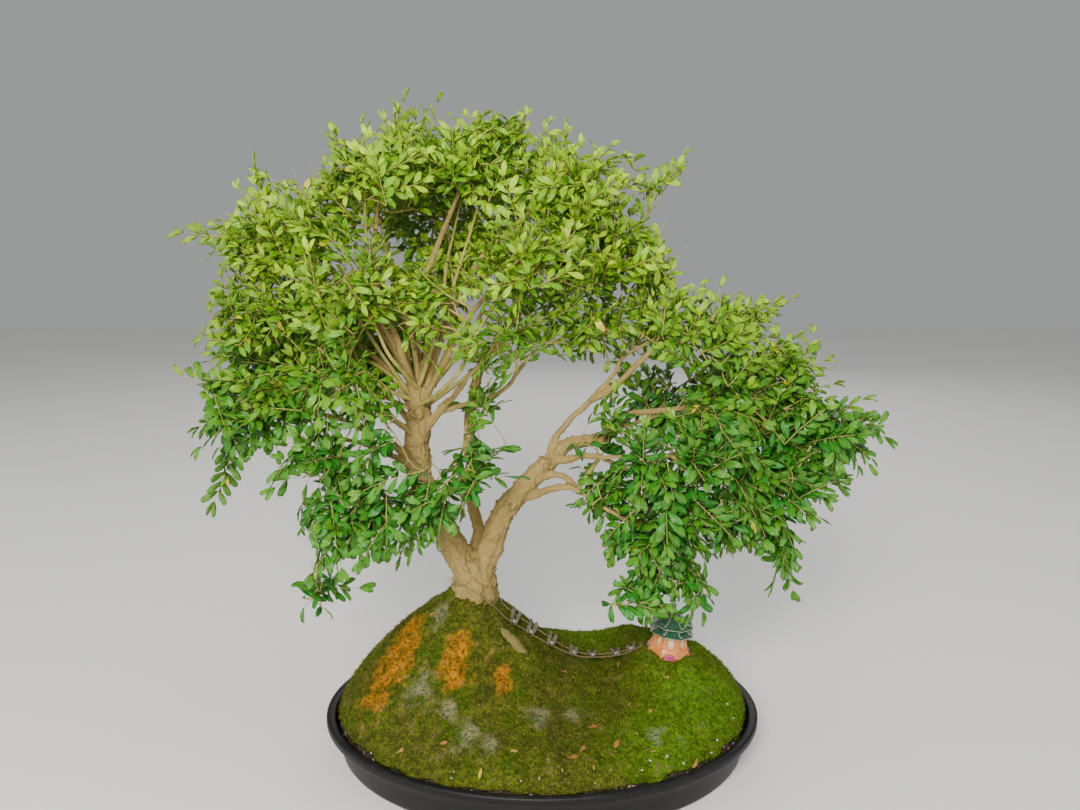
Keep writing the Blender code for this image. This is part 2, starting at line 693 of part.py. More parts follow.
def placed_shoot(tip, way, pairs, rng, others):
    """A shoot out of a tuft's tip, turned and bent aside until its leaves clear all that stands near."""
    for attempt in range(ROLLS):
        seed = rng.random()
        lean = Vector(rng.gauss(0.0, 1.0) for _ in range(3)) * (LEAST_LEAN + MOST_LEAN * attempt / ROLLS)
        ahead = (way + lean).normalized()
        roll = rng.uniform(-ROLL_LIMIT, ROLL_LIMIT)
        thick = LEAF_THICKNESS + PROBE_MARGIN
        probe = leafy_shoot(pairs, FIRST_PAIR - PROBE_START, random.Random(seed), thick)
        probe.transform(aim(tip + ahead * PROBE_START, ahead, roll))
        low = min(vert.co.z - ground_height(vert.co.x, vert.co.y) for vert in probe.verts)
        clear = BVHTree.FromBMesh(probe)
        probe.free()
        if low < LEAST_HEADROOM or any(clear.overlap(other) for other in others):
            continue
        shoot = leafy_shoot(pairs, FIRST_PAIR + ROOT_DEPTH, random.Random(seed))
        shoot.transform(aim(tip - ahead * ROOT_DEPTH, ahead, roll))
        return shoot, clear
    return None, None


def smooth_route(route, count):
    """Points along a smooth curve through a route's own points, evenly counted between its ends."""
    points = [Vector(p) for p in route]
    points = [points[0] * 2 - points[1]] + points + [points[-1] * 2 - points[-2]]
    spans = len(points) - 3
    made = []
    for step in range(count):
        place = step * spans / (count - 1)
        span = min(int(place), spans - 1)
        t = place - span
        a, b, c, d = points[span:span + 4]
        made.append(0.5 * (2 * b + (c - a) * t + (2 * a - 5 * b + 4 * c - d) * t * t
                           + (3 * b - a - 3 * c + d) * t * t * t))
    return made


# Ropes of the bridge, from the knot at the trunk to the pavilion's side
ROPES = {
    "bridge_rope_front": [
        (-84.2, -9.8, 168.2), (-75.4, -18.4, 167.6), (-65, -21.8, 164), (-55.4, -20.6, 157.6),
        (-48, -17, 149), (-34, -12, 132), (-18, -11, 121), (0, -11, 109), (23, -11, 97), (39, -11, 92),
        (63, -11, 92), (81, -11, 95.6), (97, -11, 104),
    ],
    "bridge_rope_back": [
        (-86.4, -4.8, 168), (-84.6, 8, 167.4), (-76.4, 18.6, 166), (-64, 21.8, 163), (-52, 18.6, 158),
        (-45.4, 10, 150), (-35, 0, 138.5), (-16, -2, 124.8), (0, -2, 113.4), (20, -2, 99.6), (38, -2, 91.6),
        (57, -2, 90.4), (81, -2, 94), (97, -2, 103),
    ],
}


def point_at(route, x):
    """The point of a fine route, past the trunk, that lies at a given x."""
    for first, second in zip(route, route[1:]):
        if first.z < TRUNK_SIDE_HEIGHT and first.x <= x <= second.x:
            return first.lerp(second, (x - first.x) / (second.x - first.x))
    raise ValueError("no rope at this place")


def box(name, size, place, home):
    bm = bmesh.new()
    bmesh.ops.create_cube(bm, size=1.0)
    bmesh.ops.scale(bm, vec=size, verts=bm.verts)
    bm.transform(place)
    return object_of(bm, name, home)


def slat_frame(fine, x):
    """Where a slat crosses the front rope, and its directions along the bridge, across it and up."""
    rope = fine["bridge_rope_front"]
    front = point_at(rope, x)
    ahead = point_at(rope, x + SLAT_WIDTH) - point_at(rope, x - SLAT_WIDTH)
    ahead.normalize()
    across = point_at(fine["bridge_rope_back"], x) - front
    across = (across - ahead * across.dot(ahead)).normalized()
    up = ahead.cross(across)
    places = [x + step * SLAT_WIDTH * 0.6 / SLAT_CHECKS for step in range(-SLAT_CHECKS, SLAT_CHECKS + 1)]
    lift = max((point_at(rope, place) - front).dot(up) for rope in fine.values() for place in places)
    return front + up * lift, ahead, across, up


def make_bridge(home):
    """Two ropes with pairs of slats across them, each pair held by a knot, and the knot at the trunk."""
    fine = {}
    for name, route in ROPES.items():
        fine[name] = smooth_route(route, ROPE_POINTS)
        points = [(*point, ROPE_DIAMETER / 2) for point in fine[name]]
        finish(tube(name, points, home, sides=8), "rope")
    over = ROPE_DIAMETER / 2 + GAP + SLAT_THICKNESS / 2
    made = []
    for unit, x in enumerate(SLAT_PLACES, 1):
        for side, label in ((-1, "a"), (1, "b")):
            front, ahead, across, up = slat_frame(fine, x + side * SLAT_SPREAD)
            turn = Matrix((ahead, across, up)).transposed().to_4x4()
            middle = front + across * (SLAT_LENGTH / 2 - SLAT_OVERHANG) + up * over
            size = (SLAT_WIDTH, SLAT_LENGTH, SLAT_THICKNESS)
            slat = box(f"bridge_slat_{unit}{label}", size, Matrix.Translation(middle) @ turn, home)
            finish(slat, "slat")
            made.append(slat)
        front, _, _, up = slat_frame(fine, x)
        high = over + SLAT_THICKNESS / 2 + GAP + KNOT_RADIUS * KNOT_REST
        made.append(knot(f"bridge_knot_{unit}", front + up * high, KNOT_RADIUS, home))
    made.append(knot("trunk_knot", Vector(TRUNK_KNOT), TRUNK_KNOT_RADIUS, home))
    return made


def knot(name, middle, radius, home):
    bm = bmesh.new()
    bmesh.ops.create_icosphere(bm, subdivisions=1, radius=radius)
    bmesh.ops.translate(bm, vec=middle, verts=bm.verts)
    made = object_of(bm, name, home)
    finish(made, "knot")
    return made


# The pavilion's side, from the tip of its finial down to its foot: (radius, height)
PAVILION_SIDE = [
    (0.0, 47.5), (1.4, 46.6), (1.7, 45.0), (1.0, 43.6), (2.2, 42.6), (7.0, 38.0), (14.0, 32.6), (20.6, 29.6),
    (20.6, 28.6), (11.0, 29.4), (10.4, 29.4), (15.0, 24.4), (21.6, 21.4), (21.6, 20.4), (15.4, 21.4), (15.6, 15.0),
    (17.2, 9.0), (19.8, 4.0), (23.5, 0.0), (0.0, 0.0),
]
ROOF_RIDGES = [((3.0, 42.4), (21.6, 30.6)), ((11.0, 28.8), (22.6, 22.4))]
RIDGE_RADIUS = 0.7
RIDGE_TIP_RADIUS = 1.0
RIDGE_RISE = 0.6
# Steps: each tread's height and how far it reaches from the middle, where they start and how they widen
STAIR_TREADS = ((10.0, 13.0), (7.0, 17.0), (4.0, 20.5), (1.6, 24.0))
STAIR_START = 8.0
STAIR_HALF_WIDTH = 5.0
STAIR_WIDENING = 0.12


def pavilion_place():
    place = Matrix.Translation(PAVILION_PLACE) @ Matrix.Rotation(PAVILION_LEAN, 4, "Y")
    return place @ Matrix.Rotation(PAVILION_TURN, 4, "Z")


def make_pavilion(home, loose):
    """Eight-sided walls that flare to the foot, two roofs with raised ridges, four flights of steps."""
    body = turned("pavilion", PAVILION_SIDE, PAVILION_SIDES, 1.0, home)
    half_side = math.pi / PAVILION_SIDES
    body.data.transform(Matrix.Rotation(half_side, 4, "Z"))
    for corner in range(PAVILION_SIDES):
        angle = half_side + corner * 2 * half_side
        out = Vector((math.cos(angle), math.sin(angle), 0.0))
        for (near, high), (far, low) in ROOF_RIDGES:
            start = out * near + Vector((0.0, 0.0, high - GAP))
            end = out * far + Vector((0.0, 0.0, low + RIDGE_RISE))
            tube("ridge", [(*start, RIDGE_RADIUS), (*end, RIDGE_TIP_RADIUS)], loose, sides=4)
    for quarter in range(4):
        turn = Matrix.Rotation(quarter * math.pi / 2, 4, "Z")
        for height, reach in STAIR_TREADS:
            width = 2 * (STAIR_HALF_WIDTH + (reach - PAVILION_BASE) * STAIR_WIDENING)
            place = turn @ Matrix.Translation((0.0, -(reach + STAIR_START) / 2, height / 2 + 0.01 * reach))
            box("tread", (width, reach - STAIR_START, height), place, loose)
    pavilion = join_with(body, loose)
    keep_largest(pavilion)
    pavilion.data.transform(Matrix.Scale(MM, 4) @ pavilion_place() @ Matrix.Scale(1 / MM, 4))
    finish(pavilion, "ceramic")
    return pavilion


def seat_cutter(home):
    """The flat seat that the pavilion's foot presses into the moss."""
    bm = bmesh.new()
    reach = PAVILION_BASE + SEAT_MARGIN
    bmesh.ops.create_cone(bm, cap_ends=True, segments=16, radius1=reach, radius2=reach, depth=SEAT_DEPTH)
    bm.transform(pavilion_place() @ Matrix.Translation((0.0, 0.0, SEAT_DEPTH / 2 - GAP)))
    return object_of(bm, "pavilion_seat", home)


def hide_cutter(thing):
    thing.hide_render = True
    thing.display_type = "WIRE"


def main():
    clear_scene()
    home = collection("bonsai")
    loose = collection("fused_in")
    cutters = collection("cutters")
    make_pot(home)
    tree = fused_tree("trunk", home, loose)
    finish(tree, "bark")
    room = fused_tree("trunk_room", cutters, loose, grow=WOOD_GAP)
    seat = seat_cutter(cutters)
    make_ground(home, room, seat)
    pavilion = make_pavilion(home, loose)
    bridge = make_bridge(home)
    make_sprays(home, loose, [room, pavilion, *bridge], room)
    for cutter in (room, seat):
        hide_cutter(cutter)
    bpy.data.collections.remove(loose)


main()
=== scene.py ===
import json
import math
import random

import bmesh
import bpy
import numpy as np
from bpy.props import FloatProperty, FloatVectorProperty, IntProperty, PointerProperty
from mathutils import Matrix, Vector, kdtree, noise

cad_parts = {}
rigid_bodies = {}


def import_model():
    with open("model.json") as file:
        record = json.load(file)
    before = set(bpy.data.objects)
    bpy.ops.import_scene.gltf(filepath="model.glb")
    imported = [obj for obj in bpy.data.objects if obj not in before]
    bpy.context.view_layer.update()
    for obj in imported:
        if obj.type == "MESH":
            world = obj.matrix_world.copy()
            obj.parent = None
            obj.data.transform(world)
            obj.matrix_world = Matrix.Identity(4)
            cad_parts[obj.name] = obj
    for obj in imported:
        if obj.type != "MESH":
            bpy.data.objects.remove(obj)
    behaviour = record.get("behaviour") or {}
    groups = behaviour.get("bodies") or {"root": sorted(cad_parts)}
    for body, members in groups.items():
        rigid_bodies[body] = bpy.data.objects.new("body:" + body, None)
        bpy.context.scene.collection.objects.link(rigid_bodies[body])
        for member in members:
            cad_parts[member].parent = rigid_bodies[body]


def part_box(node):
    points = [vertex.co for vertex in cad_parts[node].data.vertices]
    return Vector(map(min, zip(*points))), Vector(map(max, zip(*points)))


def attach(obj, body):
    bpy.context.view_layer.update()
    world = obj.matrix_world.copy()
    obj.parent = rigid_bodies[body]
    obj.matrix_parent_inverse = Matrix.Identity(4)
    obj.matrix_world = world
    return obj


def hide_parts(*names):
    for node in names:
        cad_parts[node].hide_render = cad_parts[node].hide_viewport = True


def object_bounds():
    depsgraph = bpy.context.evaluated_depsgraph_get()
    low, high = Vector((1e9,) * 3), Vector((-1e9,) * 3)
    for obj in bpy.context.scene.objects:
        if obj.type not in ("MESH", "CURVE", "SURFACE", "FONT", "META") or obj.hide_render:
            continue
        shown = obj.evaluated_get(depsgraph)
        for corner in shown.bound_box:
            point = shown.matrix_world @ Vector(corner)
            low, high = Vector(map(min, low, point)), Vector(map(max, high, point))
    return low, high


bl_info = {
    "name": "Boxwood bonsai",
    "version": (1, 0, 0),
    "blender": (4, 5, 0),
    "location": "3D View > Sidebar > Bonsai",
    "description": "Dresses a boxwood bonsai with its pot, moss, rope bridge and pavilion",
    "category": "Object",
}

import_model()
CAD_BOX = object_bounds()

# Places and routes are in millimetres, and every mesh is in metres
MM = 0.001
UP = Vector((0.0, 0.0, 1.0))

# Pot and mound, in the sizes of the frame
POT_LOW, POT_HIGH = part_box("pot")
POT_LENGTH = (POT_HIGH[0] - POT_LOW[0]) / MM
POT_WIDTH = (POT_HIGH[1] - POT_LOW[1]) / MM
POT_HEIGHT = (POT_HIGH[2] - POT_LOW[2]) / MM
ACROSS = POT_WIDTH / POT_LENGTH
MOSS_REACH = 197.4
EDGE_HEIGHT = 36.0
EDGE_STEEPNESS = 6.0
BASE_RISE = 22.0
PEAK = {"x": -72.0, "y": 5.0, "rise": 96.0, "left": 105.0, "right": 80.0, "front": 70.0, "back": 85.0}
HILL = {"x": 135.0, "y": -4.0, "rise": 42.0, "left": 60.0, "right": 110.0, "front": 78.0, "back": 75.0}
HUMP = {"x": 85.0, "y": 62.0, "rise": 22.0, "left": 45.0, "right": 45.0, "front": 40.0, "back": 45.0}

# Patches of the moss that died back, grew fresh or grew grey lichen: (x, y, reach)
DEAD_PATCHES = [(-138, -34, 26), (-150, -48, 20), (-126, -14, 15), (-80, -56, 17), (-37, -57, 12),
                (-74, -46, 10)]
FRESH_PATCHES = [(145, -61, 48), (108, -100, 40), (178, -44, 40), (150, 30, 50), (60, 80, 45), (-60, 90, 50)]
LICHEN_PATCHES = [(-97, -22, 9), (99, -97, 11), (-2, -83, 11), (-66, -104, 13), (-46, -114, 10),
                  (30, -70, 11), (-112, -64, 13), (-84, -84, 9)]

# Pavilion: its foot's middle, how it leans and turns, and the level patch of moss that it stands on
PAVILION_PLACE = (122.0, -8.0, 97.0)
PAVILION_LEAN = math.radians(7.0)
PAVILION_TURN = math.radians(-5.0)
PAVILION_PAD = 34.0
PAD_REACH = 1.6
PAVILION_SINK = 1.6

# Trunk, limbs and roots: each point is (x, y, z, radius)
TRUNK = [(-67, 2, 100, 27), (-67, 2, 112, 24), (-65, 0, 150, 21.5), (-65, 0, 168, 19.3), (-66, 0, 190, 15)]
LIMB_END_RADIUS = 1.9
LIMBS = {
    "left_trunk": [
        (-66, 0, 172, 14), (-81, 0, 194, 13), (-91, -2, 214, 12), (-104, -6, 243, 11.5),
        (-114, -8, 273, 11.5), (-116, -8, 306, 12), (-113, -4, 336, 11), (-112, 0, 354, 8.5),
    ],
    "right_limb": [
        (-60, 0, 172, 13), (-50, 0, 198, 12), (-39, -2, 229, 11), (-21, -4, 255, 10),
        (-4, -4, 273, 9), (5, -4, 285, 8),
    ],
    "mid_stem": [
        (-61, 3, 176, 8), (-63, 14, 212, 6), (-69, 18, 251, 5.5), (-71, 20, 290, 5),
        (-69, 22, 319, 5), (-65, 24, 348, 4.5), (-55, 24, 381, 4),
    ],
    "crown_left_top": [(-114, -4, 336, 6), (-125, -12, 381, 5), (-139, -20, 422, 4.5), (-148, -22, 467, 4),
                       (-146, -18, 500, 3.2)],
    "crown_mid_top": [(-112, 0, 340, 6), (-115, 5, 388, 5), (-112, 10, 434, 4.5), (-97, 15, 479, 4)],
    "crown_right_top": [(-110, 0, 338, 6), (-96, -2, 389, 5), (-76, -4, 435, 4.5), (-47, -4, 480, 3.5)],
    "crown_back": [(-112, 2, 342, 6), (-112, 40, 384, 5), (-105, 80, 439, 4)],
    "crown_front": [(-110, -2, 340, 5), (-86, -25, 383, 4), (-66, -45, 419, 3.5)],
    "left_upper": [(-114, -2, 336, 6), (-134, -6, 390, 5), (-164, -10, 433, 4), (-193, -12, 467, 3.5)],
    "left_low": [(-116, 0, 328, 5.5), (-147, 10, 373, 4.5), (-184, 14, 398, 3.5)],
    "left_inner": [(-129, -5, 378, 4), (-142, -32, 418, 3)],
    "left_mid": [(-116, -8, 284, 6), (-139, -9, 303, 4.5), (-159, -10, 314, 4.2), (-189, -10, 327, 3.5),
                 (-232, -10, 336, 2.8)],
    "left_mid_inner": [(-116, -10, 308, 5), (-134, -34, 332, 3.5)],
    "left_back": [(-114, -2, 310, 5), (-152, 55, 337, 4)],
    "crown_right": [(-58, 24, 372, 3.8), (-28, 16, 415, 3.5), (14, 6, 446, 3)],
    "centre_front": [(-110, -8, 314, 6), (-84, -20, 346, 4.5), (-66, -38, 368, 3.5)],
    "centre_right": [(-94, -14, 334, 4), (-68, -10, 341, 3.5), (-50, -8, 346, 3.5), (-32, -6, 356, 3.2),
                     (-20, -4, 372, 3), (-7, -2, 387, 2.8)],
    "lower_left": [(-110, -8, 262, 6), (-130, -20, 254, 4.5), (-144, -34, 251, 3.5)],
    "centre_low": [(-102, -6, 242, 5), (-94, -26, 254, 3.5)],
    "right_upper": [(4, -4, 278, 6), (9, -4, 300, 5), (26, -5, 324, 4.5), (47, -6, 345, 4),
                    (65, -6, 368, 3.5), (80, -6, 388, 3)],
    "right_mid": [(0, -4, 278, 8), (22, -5, 298, 6.5), (38, -5, 303, 5.5), (52, -6, 306, 4.5),
                  (64, -6, 312, 4), (83, -6, 330, 3.5), (105, -6, 333, 3)],
    "right_far": [(178, -5, 338, 2.4), (234, -8, 322, 2.2)],
    "right_back": [(34, -4, 302, 4.5), (67, 40, 305, 3.5)],
    "right_front": [(8, -5, 284, 6), (30, -18, 292, 5), (45, -32, 297, 4), (62, -46, 299, 3)],
    "right_low_far": [(50, -36, 298, 3.2), (99, -26, 272, 2.8), (145, -22, 260, 2.4)],
    "right_low": [(-14, -5, 250, 6), (3, -12, 258, 5), (15, -18, 264, 4.5), (32, -26, 262, 3.5),
                  (54, -34, 250, 3)],
}
TWIN_LIMBS = [
    [(46, -6, 344, 3.5), (66, -9, 356, 3), (83, -12, 374, 2.8), (102, -13, 394, 2.4)],
    [(-6, -4, 268, 3.5), (19, -13, 273, 3), (36, -20, 259, 2.6)],
    [(-114, -10, 280, 3.4), (-155, -22, 303, 2.6), (-184, -26, 312, 2.2)],
    [(-112, 0, 350, 3.4), (-118, -4, 396, 2.8), (-130, -8, 452, 2.2)],
    [(-111, 0, 350, 3.4), (-104, 4, 410, 2.8), (-101, 6, 462, 2.2)],
]
ROOTS = [
    [(-68, 0, 125, 14), (-95, -8, 100, 9), (-128, -14, 74, 6), (-155, -12, 50, 3.5)],
    [(-64, -4, 125, 14), (-60, -38, 98, 9), (-52, -74, 70, 6), (-50, -104, 46, 3.5)],
    [(-64, 4, 125, 14), (-70, 42, 100, 9), (-62, 80, 72, 6), (-48, 112, 46, 3.5)],
    [(-60, 2, 122, 13), (-28, 14, 86, 9), (8, 22, 58, 6), (48, 16, 38, 3.5)],
]
# The root that shows on the mound's right slope: (x, y, height over the moss, radius)
SURFACE_ROOT = [(-60, -10, -16, 9), (-46, -20, -9, 6.5), (-34, -26, -1.5, 5.5), (-18, -31, -1, 5),
                (-4, -35, -9, 3.5)]

# Sprays of foliage: middle and half sizes of each
SPRAYS = {
    "crown_left_top": ((-143, -5, 548), (60, 66, 39)),
    "crown_mid_top": ((-66, 25, 556), (52, 66, 39)),
    "crown_right_top": ((18, 0, 537), (56, 62, 38)),
    "crown_back": ((-94, 104, 520), (105, 58, 60)),
    "crown_front": ((-19, -62, 474), (52, 46, 36)),
    "left_upper": ((-234, -10, 496), (60, 62, 42)),
    "left_low": ((-261, 18, 422), (66, 58, 34)),
    "left_inner": ((-166, -58, 457), (44, 42, 40)),
    "left_mid": ((-268, -10, 342), (66, 60, 42)),
    "left_mid_inner": ((-172, -56, 360), (44, 42, 32)),
    "left_back": ((-220, 92, 396), (84, 56, 60)),
    "crown_right": ((71, -5, 481), (54, 58, 38)),
    "centre_front": ((-34, -62, 405), (49, 44, 32)),
    "centre_right": ((46, 0, 412), (46, 52, 30)),
    "right_upper": ((143, -5, 415), (66, 60, 32)),
    "right_back": ((165, 86, 323), (98, 58, 56)),
    "right_mid": ((178, -5, 339), (54, 52, 36)),
    "right_far": ((262, -10, 316), (48, 48, 36)),
    "right_front": ((112, -66, 305), (56, 44, 34)),
    "right_low": ((102, -46, 226), (52, 44, 42)),
    "right_low_far": ((204, -20, 247), (44, 44, 46)),
    "lower_left": ((-185, -52, 243), (54, 48, 50)),
    "centre_low": ((-81, -58, 271), (50, 42, 38)),
}
# The furthest tips: spray and the point that its long shoot reaches
TIPS = [
    ("left_mid", (-333, -15, 380)),
    ("left_mid", (-303, -20, 252)),
    ("left_low", (-329, 10, 434)),
    ("left_upper", (-316, -12, 489)),
    ("left_upper", (-251, -10, 553)),
    ("crown_left_top", (-194, -5, 583)),
    ("crown_left_top", (-124, -5, 607)),
    ("crown_mid_top", (-56, 20, 605)),
    ("crown_right_top", (23, 0, 588)),
    ("crown_right_top", (62, 0, 562)),
    ("crown_right", (124, -5, 559)),
    ("crown_right", (123, -5, 492)),
    ("right_upper", (224, -5, 433)),
    ("right_mid", (258, -5, 379)),
    ("right_far", (324, -10, 325)),
    ("right_far", (304, -15, 289)),
    ("right_low_far", (257, -20, 254)),
    ("right_low_far", (238, -20, 164)),
    ("right_low", (99, -46, 160)),
    ("right_low", (144, -46, 176)),
    ("right_low", (45, -50, 228)),
    ("lower_left", (-234, -50, 166)),
    ("lower_left", (-245, -60, 194)),
    ("centre_low", (-131, -60, 213)),
    ("centre_low", (-24, -60, 291)),
    ("crown_back", (-94, 172, 520)),
    ("left_back", (-220, 156, 396)),
    ("right_back", (165, 152, 323)),
]

# Ropes of the bridge, from the knot at the trunk to the pavilion's side
ROPES = {
    "bridge_rope_front": [
        (-84.2, -9.8, 168.2), (-75.4, -18.4, 167.6), (-65, -21.8, 164), (-55.4, -20.6, 157.6),
        (-48, -17, 149), (-34, -12, 132), (-18, -11, 121), (0, -11, 109), (23, -11, 97), (39, -11, 92),
        (63, -11, 92), (81, -11, 95.6), (97, -11, 104),
    ],
    "bridge_rope_back": [
        (-86.4, -4.8, 168), (-84.6, 8, 167.4), (-76.4, 18.6, 166), (-64, 21.8, 163), (-52, 18.6, 158),
        (-45.4, 10, 150), (-35, 0, 138.5), (-16, -2, 124.8), (0, -2, 113.4), (20, -2, 99.6), (38, -2, 91.6),
        (57, -2, 90.4), (81, -2, 94), (97, -2, 103),
    ],
}


# Settings that a user may change

def a_number(name, description, default, least, most, unit="NONE"):
    return FloatProperty(name=name, description=description, default=default, min=least, max=most, unit=unit)


def a_length(*given):
    return a_number(*given, "LENGTH")


def a_count(name, description, default, least, most):
    return IntProperty(name=name, description=description, default=default, min=least, max=most)


def a_colour(name, description, default):
    return FloatVectorProperty(name=name, description=description, default=default, size=3, subtype="COLOR",
                               min=0.0, max=1.0)


class TreeSettings(bpy.types.PropertyGroup):
    """Sizes and colours of the wood and the foliage."""
    leaf_length: a_length("Leaf length", "Length of a full-grown leaf", 0.0212, 0.01, 0.05)
    leaf_width: a_length("Leaf width", "Width of a full-grown leaf", 0.0074, 0.003, 0.03)
    pair_gap: a_length("Gap between pairs", "Distance along a shoot from pair to pair", 0.0092, 0.005, 0.03)
    shoot_share: a_number("Shoots", "How many shoots grow, as a share of the usual number", 1.0, 0.1, 1.5)
    wood_voxel: a_length("Wood detail", "Edge of a voxel that the wood is fused from", 0.0016, 0.001, 0.006)
    young_leaf: a_colour("Young leaf", "Leaves at the tips of the crown", (0.44, 0.69, 0.004))
    crown_leaf: a_colour("Crown leaf", "Grown leaves of the crown", (0.19, 0.47, 0.002))
    low_leaf: a_colour("Low leaf", "Grown leaves of the lower limbs", (0.012, 0.205, 0.012))
    pale_bark: a_colour("Pale bark", "Ridges of the bark", (0.60, 0.45, 0.15))
    # The fissures' colour is partly their own darker bark and partly painted shade in the crevices
    fissure_bark_and_shade: a_colour("Dark bark", "Fissures of the bark", (0.22, 0.145, 0.045))


class GroundSettings(bpy.types.PropertyGroup):
    """Sizes and colours of the mound and what lies on it."""
    moss_rings: a_count("Moss rings", "Rings of points in the moss carpet", 100, 20, 150)
    moss_steps: a_count("Moss steps", "Points in each ring of the moss carpet", 520, 60, 720)
    tufts: a_count("Tufts", "Tufts that stand out of the moss, for a square centimetre", 15, 0, 40)
    tuft_height: a_length("Tuft height", "Height of a tuft", 0.0022, 0.0005, 0.01)
    green_moss: a_colour("Green moss", "Moss that grows well", (0.066, 0.128, 0.008))
    fresh_moss: a_colour("Fresh moss", "Bright moss of the right side", (0.10, 0.27, 0.003))
    olive_moss: a_colour("Olive moss", "Dull moss between the cushions", (0.080, 0.066, 0.014))
    dead_moss: a_colour("Dead moss", "Patches that died back", (0.60, 0.24, 0.006))
    soil_colour: a_colour("Soil", "Damp soil along the rim", (0.035, 0.024, 0.014))
    fallen_leaves: a_count("Loose leaves", "Small fallen leaves besides the placed ones", 30, 0, 200)


class PotSettings(bpy.types.PropertyGroup):
    """Sizes and colour of the pot."""
    wall: a_length("Wall", "Thickness of the wall", 0.0035, 0.001, 0.01)
    lip: a_length("Lip", "How wide and how high the turned-out lip is", 0.008, 0.002, 0.02)
    steps: a_count("Steps", "Points round the pot", 160, 32, 256)
    plastic: a_colour("Plastic", "Colour of the plastic", (0.005, 0.005, 0.006))


class BridgeSettings(bpy.types.PropertyGroup):
    """Sizes and colours of the rope bridge."""
    rope: a_length("Rope", "Diameter of a rope", 0.001, 0.0003, 0.003)
    slat_length: a_length("Slat length", "Length of a slat across the bridge", 0.018, 0.01, 0.03)
    slat_width: a_length("Slat width", "Width of a slat along the bridge", 0.0034, 0.002, 0.01)
    slat_thickness: a_length("Slat thickness", "Thickness of a slat", 0.0015, 0.0005, 0.004)
    rope_colour: a_colour("Rope colour", "Colour of the twisted rope", (0.42, 0.27, 0.10))
    slat_colour: a_colour("Slat colour", "Weathered wood of the slats", (0.21, 0.20, 0.145))
    knot_colour: a_colour("Knot colour", "Pale cord of the knots", (0.70, 0.66, 0.56))


class PavilionSettings(bpy.types.PropertyGroup):
    """Colours of the glazed pavilion."""
    wall: a_colour("Wall", "Glaze of the walls", (0.60, 0.17, 0.008))
    roof: a_colour("Roof", "Glaze of the tiles", (0.008, 0.085, 0.045))
    ridge: a_colour("Ridge", "Glaze of the ridges and eaves", (0.44, 0.41, 0.26))
    front_steps: a_colour("Front steps", "Glaze of the front steps", (0.50, 0.015, 0.14))
    side_steps: a_colour("Side steps", "Glaze of the other steps", (0.16, 0.012, 0.014))


class StageSettings(bpy.types.PropertyGroup):
    """Floor, lights and camera."""
    floor_size: a_length("Floor size", "Side of the floor", 8.0, 2.0, 20.0)
    floor_colour: a_colour("Floor colour", "Colour of the floor", (0.86, 0.855, 0.84))
    key_power: a_number("Key power", "Power of the large front light", 72.8, 0.0, 400.0, "POWER")
    fill_power: a_number("Fill power", "What the other lights are somewhat over", 7.0, 0.0, 200.0, "POWER")
    camera_distance: a_length("Camera distance", "From the tree's middle to the camera", 0.840, 0.2, 5.0)
    camera_height: a_length("Camera height", "Height of the camera over the floor", 0.496, 0.0, 3.0)
    camera_pitch: a_number("Camera pitch", "How far the camera looks down", math.radians(10.68), -1.5, 1.5,
                           "ROTATION")
    camera_lens: a_number("Lens", "Focal length in millimetres, on a sensor 36 mm wide", 30.67, 10.0, 200.0)
    camera_aside: a_length("Camera aside", "Camera's place along X", -0.002, -1.0, 1.0)


# Helpers for meshes and pieces

def linked(name, data):
    made = bpy.data.objects.new(name, data)
    bpy.context.scene.collection.objects.link(made)
    return made


def mesh_of(name, points, faces):
    """A new mesh object from points in millimetres."""
    mesh = bpy.data.meshes.new(name)
    mesh.from_pydata([tuple(value * MM for value in point) for point in points], [], faces)
    mesh.update()
    return linked(name, mesh)


def object_of(bm, name):
    """A new object from a bmesh whose lengths are in millimetres, with its faces turned outwards."""
    bmesh.ops.recalc_face_normals(bm, faces=bm.faces)
    bmesh.ops.scale(bm, vec=(MM, MM, MM), verts=bm.verts)
    mesh = bpy.data.meshes.new(name)
    bm.to_mesh(mesh)
    bm.free()
    return linked(name, mesh)


def applied(thing):
    """The object as a plain mesh with its modifiers applied."""
    bpy.context.view_layer.update()
    graph = bpy.context.evaluated_depsgraph_get()
    mesh = bpy.data.meshes.new_from_object(
        thing.evaluated_get(graph), preserve_all_data_layers=True, depsgraph=graph)
    mesh.transform(thing.matrix_world)
    name = thing.name
    bpy.data.objects.remove(thing, do_unlink=True)
    made = linked(name, mesh)
    mesh.name = name
    return made


def grown(source, tree, **values):
    """The plain mesh that a geometry tree makes of an object, with the tree's inputs set by name."""
    change = source.modifiers.new(tree.name, "NODES")
    change.node_group = tree
    for item in tree.interface.items_tree:
        if item.item_type == "SOCKET" and item.in_out == "INPUT" and item.name.replace(" ", "_") in values:
            change[item.identifier] = values[item.name.replace(" ", "_")]
    return applied(source)


def set_attribute(mesh, name, kind, values, domain="POINT"):
    layer = mesh.attributes.new(name, kind, domain)
    field = {"FLOAT_VECTOR": "vector"}.get(kind, "value")
    layer.data.foreach_set(field, np.asarray(values, dtype=np.int32 if kind == "INT" else np.float32).ravel())


def smoothed(thing, degrees=35.0):
    thing.data.shade_smooth()
    thing.data.set_sharp_from_angle(angle=math.radians(degrees))


def piece(thing, slot, material, *nodes):
    """Give a finished piece its material and body, and let it stand for CAD nodes. Its slot is not used."""
    thing.data.materials.clear()
    thing.data.materials.append(material)
    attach(thing, "root")
    if nodes:
        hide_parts(*nodes)
    return thing


